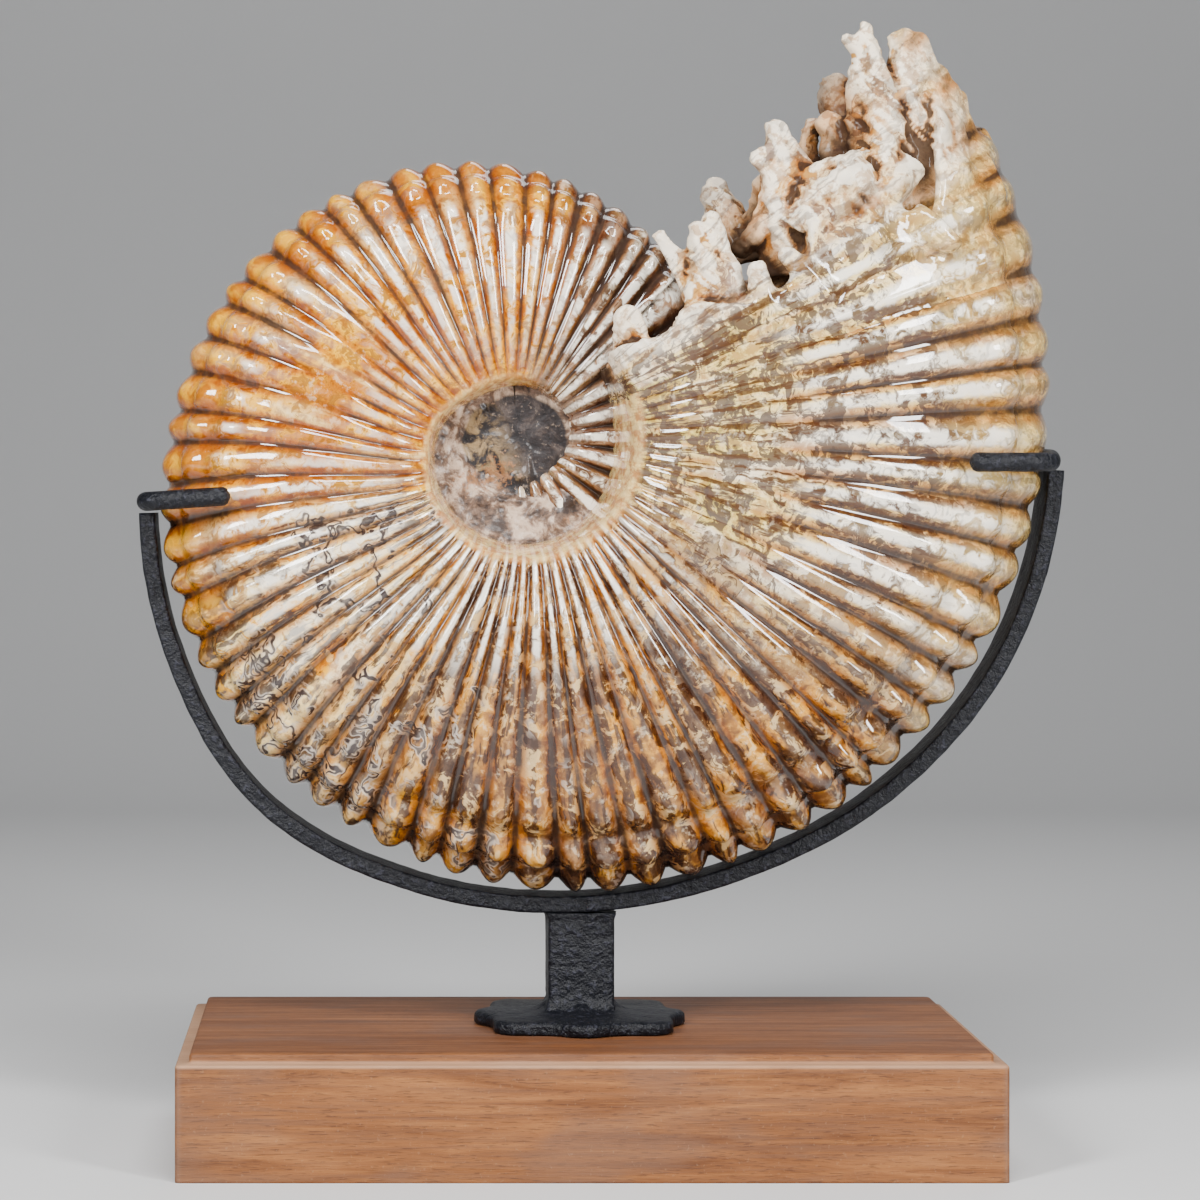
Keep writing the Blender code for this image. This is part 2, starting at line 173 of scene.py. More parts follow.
# Broken end: the angle where the wall breaks off on either side, by share from the rim to the outer edge, and
# the limbs of the last chamber wall that stand on it, each as (x, y, z, radius) in millimetres to its tip
CROWN_START = 370
CROWN_ROWS, INWARD_ROWS = 60, 26
FRONT_EDGE = (
    (-0.05, 401), (0, 402), (0.06, 400), (0.11, 395.5), (0.17, 398.5), (0.24, 395), (0.32, 390.5),
    (0.4, 390), (0.46, 393), (0.52, 399), (0.6, 401), (0.66, 397), (0.7, 391), (0.76, 389),
    (0.81, 392), (0.86, 397), (0.92, 398), (1, 394),
)
BACK_EDGE = (
    (-0.05, 401), (0, 400), (0.2, 403), (0.35, 398), (0.5, 394), (0.62, 401), (0.75, 396),
    (0.88, 399), (1, 394),
)
CROWN_VOXEL = 0.0011
LIMB_STEP, LIMB_TIP, LIMB_FLATNESS, LIMB_SIDES = 0.0011, 0.0018, 0.85, 24
LIMBS = (
    ((17.6, -48, 304.6, 6.5), (15.8, -52, 314.5, 6), (14.2, -54, 320.3, 4)),  # grey stub
    ((43.3, -54, 325.2, 8), (34, -58, 336.5, 4.6), (28.6, -60, 343, 3), (25.2, -61, 347.4, 2.2)),  # 1st horn
    ((46.7, -57, 322, 12), (44.2, -60, 336.7, 9), (41, -63, 346.5, 4.8), (39.8, -64, 351.2, 2.8)),  # 2nd horn
    ((44.6, -60, 336, 8), (46, -61, 346.7, 5.5), (44.8, -58, 355.8, 3)),  # its right tip
    ((61.4, -22, 339.2, 10), (58, -22, 351.4, 8), (53.2, -20, 361.8, 7), (51.1, -18, 366.6, 5.5),  # hook behind
     (53.8, -18, 369.6, 3.8)),
    ((52.1, -20, 363, 5.5), (46.5, -23, 365.4, 3.6)),  # hook tip
    ((58.2, -24, 349.7, 4.5), (63.6, -30, 353.8, 4), (66, -36, 361.7, 4), (66.3, -44, 369.3, 4.5)),  # hook
    ((83.2, -44, 336.2, 16), (80, -49, 354.6, 15.5), (74.1, -51, 370.1, 10.5),  # white horn
     (71.4, -52, 380.5, 6.4), (69.6, -52, 390.2, 4.2)),
    ((74.6, -50, 370.2, 8), (67.1, -54, 374.3, 4.6), (62.1, -55, 378, 3.9)),  # its knob
    ((71.8, -52, 368.6, 6), (67.8, -54, 359.1, 4.6), (63.6, -52, 349.2, 4.6),  # its left leg
     (56, -46, 342.1, 4.2)),
    ((80.4, -52, 352.9, 14), (88.2, -58, 363.6, 11), (97.6, -60, 368.6, 8),  # its right shoulder
     (103.5, -60, 365.6, 7)),
    ((66.2, -62, 313.6, 9), (63.9, -66, 325.3, 5.4), (61.9, -68, 336.9, 3)),  # saddle lobe
    ((84.7, -62, 324, 9), (78.2, -67, 334, 5), (71.4, -69, 340.9, 3.2)),  # saddle lobe right
    ((103.1, -30, 362.9, 12), (97.2, -34, 378.5, 8.5), (95, -34, 388.3, 6.5),  # middle wall
     (89.2, -32, 393.8, 4)),
    ((89.7, -28, 366.9, 8), (85.7, -26, 379.2, 4.5), (85.3, -26, 386, 4),  # middle wall edge
     (87.8, -28, 392.7, 4)),
    ((115.5, 34, 382.1, 10), (107.8, 36, 398.5, 8.2), (104.1, 38, 410.3, 7.6),  # grey plate behind
     (103.3, 38, 417.8, 5.2)),
    ((109.2, -46, 356.4, 11), (110.2, -44, 370.8, 13), (110.8, -40, 383.9, 12.5),  # tall horn
     (109.3, -40, 398.2, 10), (106.2, -43, 409.9, 8), (104.6, -44, 419.9, 4.4), (104.6, -44, 427.8, 2.4)),
    ((105.8, -43, 412.9, 5), (100.7, -45, 419, 3.3), (97.3, -45, 422.8, 2.4)),  # tall horn left tip
    ((106.6, -43, 410.7, 4.4), (109, -42, 418.3, 2.6), (108.2, -42, 422, 1.8)),  # tall horn right tip
    ((136.1, -32, 358.2, 16), (130.5, -34, 370.1, 16), (127.2, -33, 383.1, 15.5),  # broad horn
     (124.3, -35, 398.8, 12), (121.2, -38, 409.7, 9.4), (120.3, -39, 419.4, 5.2), (120.3, -39, 426.2, 2.8)),
    ((124.1, -36, 403.2, 7.5), (127.8, -37, 412.9, 5), (127, -37, 419.7, 3.6),  # broad horn second tip
     (125.9, -37, 424.9, 2.4)),
    ((119.7, -38, 410.5, 4.8), (116.5, -39, 417.9, 3), (115.4, -39, 424.3, 2.2)),  # broad horn left tip
    ((129.1, -33, 395.9, 11), (132.2, -33, 405.8, 6.5), (133.3, -33, 413.3, 4)),  # broad horn shoulder
    ((133.4, -30, 388.7, 11), (137.5, -30, 400.1, 6.5), (138.3, -30, 407.3, 4)),  # broad horn outer
    ((137.2, -25, 382.3, 12), (141.9, -24, 398.4, 5.6), (142.3, -24, 404.5, 4)),  # broad horn edge
    ((147, -30, 361, 15), (145.4, -26, 377.7, 9), (144.6, -24, 386.2, 5)),  # outer ridge
    ((150.6, 6, 351.1, 13), (155.2, 10, 372.4, 9), (157, 14, 386.1, 6),  # outer grey horn
     (155.4, 14, 394.3, 3.8)),
    ((120.4, -56, 356.3, 5), (127.4, -59, 350.1, 5.5), (136.9, -60, 343, 3.6)),  # flap
    ((117.4, -46, 372.8, 10), (114.1, -56, 366.7, 7.5), (111.5, -61, 361.8, 5)),  # knob over the pit
    ((102.8, -60, 355.3, 4.5), (105.1, -65, 348.2, 4.5), (108.6, -66, 343, 3)),  # fold
    ((104.9, -50, 377, 4), (97.9, -58, 375.5, 4), (93.6, -62, 369.9, 4.5), (95.1, -62, 365.5, 4)),  # lip
    ((39.9, 50, 327, 7), (35.8, 54, 335.2, 5), (32.3, 56, 341, 3.5)),  # far first horn
    ((48.7, 50, 325.4, 9), (47.4, 53, 336.8, 6.5), (45.1, 55, 345, 4)),  # far second horn
    ((66.8, 54, 323.2, 8), (65.9, 58, 333.1, 5.4), (65.3, 60, 339.6, 3.6)),  # far saddle
    ((85.2, 50, 339.4, 15), (82.6, 52, 355.2, 11), (78.8, 54, 364.2, 6), (76.4, 54, 369, 4)),  # far white horn
    ((91.2, 50, 353.4, 12), (93.9, 52, 369.7, 8), (96.3, 52, 379.3, 5.5)),  # far shoulder
    ((120.5, 30, 365.9, 20), (119.3, 33, 387.9, 16), (117.4, 36, 404.1, 11),  # far broad horn
     (116.7, 37, 414.5, 7), (116.3, 37, 420.9, 4.5)),
    ((137.7, 26, 365.5, 18), (135.2, 28, 387.4, 12), (131.4, 29, 399.4, 8),  # far outer horn
     (129.1, 29, 405.7, 5)),
    ((147.9, 28, 363.7, 15), (145.3, 27, 380.2, 9), (143.6, 26, 388, 5)),  # far outer ridge
)


# Shaped arrays


def through(points, at):
    """The smooth curve through (x, y) points, read at x: cubics that share their slopes where they meet."""
    xs, ys = np.array(points, float).T
    at = np.asarray(at, float)
    slopes = np.gradient(ys, xs)
    i = np.clip(np.searchsorted(xs, at) - 1, 0, len(xs) - 2)
    step = xs[i + 1] - xs[i]
    t = np.clip((at - xs[i]) / step, 0, 1)
    start = (2 * t**3 - 3 * t**2 + 1) * ys[i] + (t**3 - 2 * t**2 + t) * step * slopes[i]
    end = (3 * t**2 - 2 * t**3) * ys[i + 1] + (t**3 - t**2) * step * slopes[i + 1]
    return start + end


def ease(low, high, at):
    """0 below low, 1 above high, and 3t^2 - 2t^3 of the share t of the way between."""
    t = np.clip((np.asarray(at, float) - low) / (high - low), 0, 1)
    return t * t * (3 - 2 * t)


def bell(at, middle, spread):
    """The bell curve exp(-((x - middle) / spread)^2)."""
    return np.exp(-(((np.asarray(at, float) - middle) / spread) ** 2))


def lattice(cell, seed):
    """A repeatable number from -1 to 1 for each whole-number place: what is left of a large sine."""
    mixed = np.sin(cell @ np.array([12.9898, 78.233, 37.719]) + 4.1414 * seed) * 43758.5453
    return 2 * (mixed - np.floor(mixed)) - 1


def noise(points, size, seed=0, octaves=1):
    """Smooth numbers, about -1 to 1: lattice numbers at the corners of cubes of this size, blended by
    3t^2 - 2t^3 along each axis. Each further octave has half the size and half the height."""
    total, height = 0.0, 1.0
    for octave in range(octaves):
        place = np.asarray(points, float) / size * 2**octave + 17.3 * octave
        cell = np.floor(place)
        t = place - cell
        t = t * t * (3 - 2 * t)
        value = 0.0
        for corner in np.ndindex(2, 2, 2):
            share = np.prod(np.where(np.array(corner) == 1, t, 1 - t), axis=-1)
            value = value + share * lattice(cell + corner, seed + octave)
        total, height = total + height * value, height / 2
    return total


def unit(vectors):
    """The same directions at length 1."""
    return vectors / np.maximum(np.linalg.norm(vectors, axis=-1, keepdims=True), 1e-12)


def run_along(path):
    """How far along the path each of its points is."""
    return np.concatenate([[0], np.cumsum(np.linalg.norm(np.diff(path, axis=0), axis=1))])


def grid_faces(rows, columns, closed=False):
    """Four-cornered faces between neighbouring points of a grid that is numbered row by row. Closed rows join
    their last point to their first."""
    i = np.arange(rows - 1)[:, None]
    j = np.arange(columns if closed else columns - 1)[None, :]
    beside = (j + 1) % columns
    corners = (i * columns + j, i * columns + beside, (i + 1) * columns + beside, (i + 1) * columns + j)
    return np.stack([np.broadcast_to(c, (len(i), j.shape[1])) for c in corners], axis=-1).reshape(-1, 4)


def tube_faces(rings):
    """Points and faces of a tube of closed rings, with a fan over each end to a point in its middle."""
    rows, columns = rings.shape[:2]
    flat = np.concatenate([rings.reshape(-1, 3), rings[[0, -1]].mean(axis=1)])
    ring = np.arange(columns)
    fan = np.column_stack([ring, np.roll(ring, -1), np.full(columns, rows * columns)])
    fans = np.concatenate([fan[:, ::-1], fan + ((rows - 1) * columns, (rows - 1) * columns, 1)])
    return flat, [grid_faces(rows, columns, closed=True), fans]


def facing_out(points, faces):
    """The faces, turned over if their volume is below zero: the sum of a . (b x c) / 6 over triangles."""
    volume = 0.0
    for part in faces:
        for k in range(1, part.shape[1] - 1):
            a, b, c = (points[part[:, i]] for i in (0, k, k + 1))
            volume += np.einsum("ij,ij->", a, np.cross(b, c)) / 6
    return [part[:, ::-1] for part in faces] if volume < 0 else faces


def smoothed(points, edges, rounds):
    """Points after a number of rounds in which each moves to the mean of its neighbours."""
    first, second = edges.T
    count = len(points)
    degree = np.bincount(edges.ravel(), minlength=count)
    for _ in range(rounds):
        sums = [np.bincount(first, p[second], count) + np.bincount(second, p[first], count) for p in points.T]
        points = np.column_stack(sums) / degree[:, None]
    return points


# Pieces


def show(name, data):
    """An object of this mesh, lamp or camera, in the scene."""
    made = bpy.data.objects.new(name, data)
    bpy.context.scene.collection.objects.link(made)
    return made


def finish_piece(name, mesh, node, finish, marks):
    """The mesh as a piece that rides on the one body and hides its CAD node, with the material of its finish,
    which is a slot and a material; the slot is not used. Marks are numbers kept at each point for the material
    to read."""
    slot, material = finish
    for mark, values in marks.items():
        layer = mesh.attributes.new(mark, "FLOAT", "POINT")
        layer.data.foreach_set("value", np.asarray(values, np.float32).ravel())
    mesh.polygons.foreach_set("use_smooth", np.full(len(mesh.polygons), True))
    mesh.materials.clear()
    mesh.materials.append(material)
    mesh.update()
    piece = show(name, mesh)
    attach(piece, "root")
    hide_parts(node)


def tube_mesh(name, tubes):
    """One mesh of tubes, each from an array of closed rings of points."""
    points, polygons, total = [], [], 0
    for rings in tubes:
        flat, faces = tube_faces(rings)
        for part in facing_out(flat, faces):
            polygons += (part + total).tolist()
        points.append(flat)
        total += len(flat)
    mesh = bpy.data.meshes.new(name)
    mesh.from_pydata(np.concatenate(points).tolist(), [], polygons)
    return mesh


def add_tube(name, rings, node, finish, marks=None):
    """A piece from an array of closed rings of points, with closed ends."""
    finish_piece(name, tube_mesh(name, [rings]), node, finish, marks or {})


# Shell


def crest_radius(angle):
    """The listed radii, and before the first of them a spiral that shrinks by the same share each degree."""
    first_angle, first_radius = CREST_RADII[0]
    listed = through(CREST_RADII, np.maximum(angle, first_angle))
    inside = first_radius * np.exp(INNER_GROWTH_PER_DEGREE * (angle - first_angle))
    return np.where(angle < first_angle, inside, listed)


def rim_radius(angle):
    """The listed radii, and inside the first a fixed share of the crest radius, blended over 45 degrees."""
    start = RIM_RADII[0][0]
    blend = np.clip((angle - start + 45) / 45, 0, 1)
    inside = INNER_RIM_RATIO * crest_radius(angle)
    return (1 - blend) * inside + blend * through(RIM_RADII, np.maximum(angle, start))


def rib_angle(rib):
    """The angle of a numbered rib at the outer edge, with a small uneven drift."""
    drift = 0.35 * np.sin(1.7 * rib) + 0.25 * np.sin(3.1 * rib + 1)
    return through(RIB_ANGLES, rib) + drift


def share_at(station):
    """How far the section's stations are from the rim to the outer edge."""
    return through([(s, q) for s, q, _ in SECTION], np.abs(station))


def half_section(angle, station, shrink=0.0):
    """Radius and distance from the middle plane of the smooth whorl, before ribs, negative on the front."""
    crest, rim = crest_radius(angle) * (1 - shrink), rim_radius(angle) * (1 - shrink)
    radius = rim + (crest - rim) * share_at(station)
    half = through([(s, w) for s, _, w in SECTION], np.abs(station))
    return radius, np.sign(station) * THICKNESS_RATIO * crest * half


def outward(angle, station, shrink=0.0):
    """The section's unit normal, from its slope along the stations."""
    step = 1e-3
    r0, y0 = half_section(angle, station - step, shrink)
    r1, y1 = half_section(angle, station + step, shrink)
    along_r, along_y = r1 - r0, y1 - y0
    length = np.maximum(np.hypot(along_r, along_y), 1e-12)
    return along_y / length, -along_r / length


def place(angle, radius, away):
    """Points in the row frame from spiral angle, radius and distance from the middle plane."""
    turn = np.radians(angle)
    x = SHELL_CENTRE[0] + radius * np.cos(turn)
    z = SHELL_CENTRE[1] + radius * np.sin(turn)
    return np.stack(np.broadcast_arrays(x, away, z), axis=-1)


def rib_relief(rib, angle, station):
    """Height over the smooth whorl, and how far down a groove each point is. The groove is d^n deep, where d
    is 0 on a crest and 1 midway to the next, and n is larger on the flank, so that its ribs are flat."""
    station = np.abs(station)
    size = crest_radius(angle) / FULL_RADIUS
    share = share_at(station)
    d = 2 * np.abs(rib - np.round(rib))
    groove = d ** through(CREST_POWER, station)
    depth = MM * through(VALLEY_BY_ANGLE, np.maximum(angle, 45.0)) * through(VALLEY_BY_STATION, station)
    depth = depth * np.where(angle < 45, size * 2.2, 1.0)
    # The ribs fade in a worn patch on the left flank and on the inner flank before the broken end
    worn = 0.92 * bell(angle, 162, 20) * bell(share, 0.45, 0.17)
    flat = 0.9 * ease(306, 330, angle) * bell(share, 0.24, 0.19)
    depth = depth * (1 - np.maximum(worn, flat) * ease(0.3, 0.45, station))
    # Knobs on the crests, which give way to a bead and a furrow along the outer edge of the last part
    knobs = sum(tall * bell(station, at, wide) for at, wide, tall in KNOB_STATIONS)
    band = ease(338, 352, angle)
    knobs = knobs * (1 + 0.6 * ease(230, 290, angle)) * (1 - band) * (1 - d**2)
    knobs = knobs + band * (2.2 * bell(station, 0.335, 0.035) * (1 - d**2) - 2.2 * bell(station, 0.262, 0.026))
    lip = 0.9 * bell(station, 0.985, 0.022) * ease(95, 160, angle)
    height = -depth * groove + MM * (size * 1.25 * knobs + lip)
    return height, groove * np.clip(depth / (1.3 * MM), 0, 1)


def whorl_grid(angle, station, relief, shrink=0.0):
    """The grid of points of a whorl: the smooth section moved along its normal by the relief."""
    radius, away = half_section(angle, station, shrink)
    out_r, out_y = outward(angle, station, shrink)
    points = place(angle, radius, away)
    ripple = MM * (0.45 * noise(points, 0.022, 3) + 0.12 * noise(points, 0.006, 4))
    height = relief + ripple * ease(45, 60, angle)
    return place(angle, radius + height * out_r, away + height * out_y)


def add_whorl(name, edge, angle, station, rib, relief, groove, finish, shrink=0.0):
    """A whorl of open half rings, each closed by a buried point on the middle plane. Its marks are numbers
    over the half rings, carried on to the buried points and the two end points."""
    points = whorl_grid(angle, station, relief, shrink)
    buried = place(edge, crest_radius(edge - WHORL) * 0.7, 0.0)
    marks = {}
    for mark, values in (("rib", rib), ("spiral", angle), ("station", station), ("groove", groove)):
        values = np.broadcast_to(values, points.shape[:2])
        values = np.concatenate([values, values[:, -1:]], axis=1)
        marks[mark] = np.concatenate([values.ravel(), values[0, :1], values[-1, :1]])
    add_tube(name, np.concatenate([points, buried], axis=1), "ammonite", finish, marks)


def add_outer_whorl(finish):
    """The last whorl: ribs by stations, each rib swept back towards the rim by lean * (1 - share)^3."""
    rib = np.linspace(FIRST_RIB, LAST_RIB, int((LAST_RIB - FIRST_RIB) * ROWS_PER_RIB) + 1)[:, None]
    station = np.linspace(-STATION_LIMIT, STATION_LIMIT, STATION_COUNT)[None, :]
    edge = rib_angle(rib)
    angle = edge + through(RIB_LEAN, edge) * np.clip(1 - share_at(station), 0, 1) ** 3
    relief, groove = rib_relief(rib, angle, station)
    add_whorl("ammonite_whorl", edge, angle, station, rib, relief, groove, finish)


def add_inner_whorl(finish):
    """The whorl before it, whose flank shows inside the umbilicus."""
    rows = int((INNER_LAST_ANGLE - INNER_FIRST_ANGLE) / INNER_DEGREES_PER_RIB * INNER_ROWS_PER_RIB) + 1
    edge = np.linspace(INNER_FIRST_ANGLE, INNER_LAST_ANGLE, rows)[:, None]
    rib = edge / INNER_DEGREES_PER_RIB
    station = np.linspace(-STATION_LIMIT, STATION_LIMIT, INNER_STATION_COUNT)[None, :]
    angle = edge + 0.0 * station
    d = 2 * np.abs(rib - np.round(rib))
    groove = (d**2.6) * ease(1.15, 0.7, np.abs(station))
    relief = -crest_radius(angle) / FULL_RADIUS * INNER_GROOVE_DEPTH * groove
    add_whorl("ammonite_inner_whorl", edge, angle, station, rib, relief, groove, finish, INNER_SHRINK)


def rib_at(angle):
    """The rib number at an angle, read back from the rib angles."""
    ribs = np.linspace(FIRST_RIB, RIB_ANGLES[-1][0], 2000)
    return np.interp(angle, rib_angle(ribs), ribs)


def crown_wall():
    """The wall from the whorl to the jagged break, then rings that turn in over the broken face: there the
    angle falls back by a recess that starts behind a lip, and the distance to the middle plane goes to 0."""
    station = np.linspace(-STATION_LIMIT, STATION_LIMIT, STATION_COUNT)[None, :]
    share = share_at(station)
    edge = np.where(station < 0, through(FRONT_EDGE, share), through(BACK_EDGE, share))
    edge = edge + 1.1 * noise(np.stack(np.broadcast_arrays(station * 14, 0, 0), -1), 1.0, 71, 2)
    angle = CROWN_START + np.linspace(0, 1, CROWN_ROWS)[:, None] * (edge - CROWN_START)
    rib = rib_at(angle)
    relief, _ = rib_relief(rib, angle, station)
    relief = relief + MM * (0.8 * ease(374, 379, angle) - 0.7)
    wall = whorl_grid(angle, station, relief)
    inward = np.linspace(0, 1, INWARD_ROWS + 1)[1:, None]
    across = (edge + edge[:, ::-1]) / 2
    radius, away = half_section(edge, station)
    spots = np.stack(np.broadcast_arrays(radius, away * (1 - inward), 0.0 * inward), -1)
    recess = ease(0.07, 0.35, inward) * (6.5 + 3.5 * noise(spots, 0.028, 72, 3))
    turned = edge * (1 - inward) + across * inward - recess
    face = place(turned, radius * 0.992, away * (1 - inward) * 0.985)
    return np.concatenate([wall, face])


def limb(stations, number):
    """A tube through the stations: at each, a circle of its radius, a little flattened front to back, whose
    edge waves as cos(3a) and cos(5a) while it turns along the run, closed as a half circle at the tip."""
    stations = np.array(stations) * MM
    stations[-1, :3] += LIMB_TIP * unit(stations[-1, :3] - stations[-2, :3])
    run = run_along(stations[:, :3])
    at = np.linspace(0, run[-1], max(int(run[-1] / LIMB_STEP), 6))
    *path, size = (through(np.column_stack([run, column]), at) for column in stations.T)
    path = np.column_stack(path)
    left = np.clip((run[-1] - at) / (0.9 * stations[-1, 3]), 0, 1)
    size = size * np.sqrt(np.clip(1 - (1 - left) ** 2, 0.02, 1))
    along = unit(np.gradient(path, axis=0))
    side = unit(np.cross(along, [0.0, 1.0, 0.0]))
    depth = np.cross(side, along) * LIMB_FLATNESS
    turn = np.linspace(0, 2 * math.pi, LIMB_SIDES, endpoint=False)[None, :]
    spin = (at * 60 + number)[:, None]
    reach = size[:, None] * (1 + 0.14 * np.cos(3 * turn + spin) + 0.08 * np.cos(5 * turn - 1.7 * spin))
    profile = np.stack([reach * np.cos(turn), reach * np.sin(turn)], axis=-1)
    return carried(profile, path, side, depth)


def carried(profile, path, across, up):
    """A profile carried along a path: at each path point, the profile's two numbers along two directions."""
    return path[:, None] + profile[..., :1] * across[:, None] + profile[..., 1:] * up[:, None]


def one_skin(tubes):
    """Closed tubes joined into one skin by a remesh."""
    holder = show("crown_draft", tube_mesh("crown_draft", tubes))
    remesh = holder.modifiers.new("one_skin", "REMESH")
    remesh.mode = "VOXEL"
    remesh.voxel_size = CROWN_VOXEL
    skin = bpy.data.meshes.new_from_object(holder.evaluated_get(bpy.context.evaluated_depsgraph_get()))
    bpy.data.objects.remove(holder)
    return skin


def move_points(skin, spots):
    """The skin's points put in these spots, and their normals there."""
    normals = np.empty(spots.size)
    skin.vertices.foreach_set("co", spots.ravel())
    skin.update()
    skin.vertex_normals.foreach_get("vector", normals)
    return normals.reshape(-1, 3)


def add_crown(finish):
    """The broken end: wall and limbs made one skin, smoothed where it meets the whorl, then folded by waves
    cos(4.6 noise) drawn out along the spiral, and pitted by finer noise."""
    wall = crown_wall()
    buried = wall[:, [0]] * 0.5 + wall[:, [-1]] * 0.5
    closed_wall = np.concatenate([wall, buried], axis=1)
    skin = one_skin([closed_wall] + [limb(stations, number) for number, stations in enumerate(LIMBS)])
    spot, edges = np.empty(len(skin.vertices) * 3), np.empty(len(skin.edges) * 2, np.int64)
    skin.vertices.foreach_get("co", spot)
    skin.edges.foreach_get("vertices", edges)
    spot, edges = spot.reshape(-1, 3), edges.reshape(-1, 2)
    x, z = spot[:, 0] - SHELL_CENTRE[0], spot[:, 2] - SHELL_CENTRE[1]
    radius, angle = np.hypot(x, z), np.degrees(np.arctan2(z, x)) + WHORL
    rim, crest = rim_radius(angle), crest_radius(angle)
    outer = ease(crest - 0.026, crest - 0.012, radius)
    broken = ease(388, 397, angle) * (1 - 0.6 * outer)
    calm = ease(376, 384, angle) * (1 - 0.8 * broken)
    spot = spot + calm[:, None] * (smoothed(spot, edges, 8) - spot)
    normal = move_points(skin, spot)
    drawn = np.column_stack([radius, np.radians(angle) * radius * 0.65, spot[:, 1]])
    folds = np.cos(4.6 * noise(drawn, 0.0125, 73) + 0.6 * noise(spot, 0.005, 75))
    bulges = noise(spot, 0.0085, 76)
    lift = 0.42 * folds + 0.6 * bulges + 0.25 * noise(spot, 0.0034, 74, 2) - 0.3
    spot = spot + normal * (MM * broken**1.5 * lift)[:, None]
    normal = move_points(skin, spot)
    cavity = np.sum((smoothed(spot, edges, 30) - spot) * normal, axis=1) / MM
    rib = rib_at(angle)
    worn = (2 * np.abs(rib - np.round(rib))) ** 2.0
    share = np.clip((radius - rim) / (crest - rim), 0, 1)
    # Marks for the material to darken: dirt and painted shade in the wall's rib grooves, painted shade in the
    # creases of the broken face and in the recess behind its lip
    shares, halves = np.array([(q, w) for _, q, w in SECTION[:-2]][::-1]).T
    sunk = THICKNESS_RATIO * crest * np.interp(share, shares, halves) - np.abs(spot[:, 1])
    recess_shade = ease(0.006, 0.022, sunk) * ease(386, 391, angle) * ease(412, 400, angle)
    groove_dirt_and_hollow_shade = (1 - broken) * worn * (0.25 + 0.9 * outer) + broken * ease(0.1, 0.9, cavity) + recess_shade
    ridge = broken * ease(0.1, -0.8, cavity)
    marks = {"rib": rib, "spiral": angle, "groove": groove_dirt_and_hollow_shade, "broken": broken, "ridge": ridge}
    finish_piece("ammonite_crown", skin, "ammonite", finish, marks)


def add_filling(finish):
    """Stone in the umbilicus: two rough height fields over the middle plane, joined at their outer ring."""
    angle = np.linspace(0, WHORL, FILLING_TURNS, endpoint=False)[None, :]
    share = np.linspace(0.04, 1.0, FILLING_RINGS)[:, None]
    reach = rim_radius(95 + (angle - 95) % WHORL) + 0.003
    radius = share * reach
    packed = ease(PACKED_END, PACKED_FULL, np.abs((angle - PACKED_MIDDLE + 180) % 360 - 180))
    across = radius / MM
    stone = packed * (PACKED_HEIGHT + 0.2 * (across - 20)) * ease(20, 24, across)
    height = np.maximum(CORE_HEIGHT * ease(28, 24, across), stone)
    sides = []
    for side, seed in ((-1, 11), (1, 12)):
        spots = place(angle, radius, 0.02 * side)
        rough = 0.9 * noise(spots, 0.009, seed, 3) + 0.5 * noise(spots, 0.003, seed + 5)
        level = MM * np.maximum(height + rough * (0.6 + packed), 0.5) * ease(1.0, 0.93, share)
        sides.append(place(angle, radius, side * level))
    front, back = sides
    add_tube("ammonite_filling", np.concatenate([front, back[::-1][1:]]), "ammonite", finish)


# Finishes


def operator(operation):
    """The method behind an operator sign: it adds a Math node."""
    return lambda value, other: value.maths(operation, other)


class Value:
    """A socket of a material's nodes. An expression on it adds Math nodes."""

    def __init__(self, tree, socket):
        self.tree, self.socket = tree, socket

    def maths(self, operation, *others):
        return self.tree.node("ShaderNodeMath", {"operation": operation}, dict(enumerate((self, *others))))

    def __rsub__(self, other):
        return self.tree.node("ShaderNodeMath", {"operation": "SUBTRACT"}, {0: other, 1: self})

    __add__ = __radd__ = operator("ADD")
    __sub__ = operator("SUBTRACT")
    __mul__ = __rmul__ = operator("MULTIPLY")
    __truediv__ = operator("DIVIDE")
    __pow__ = operator("POWER")


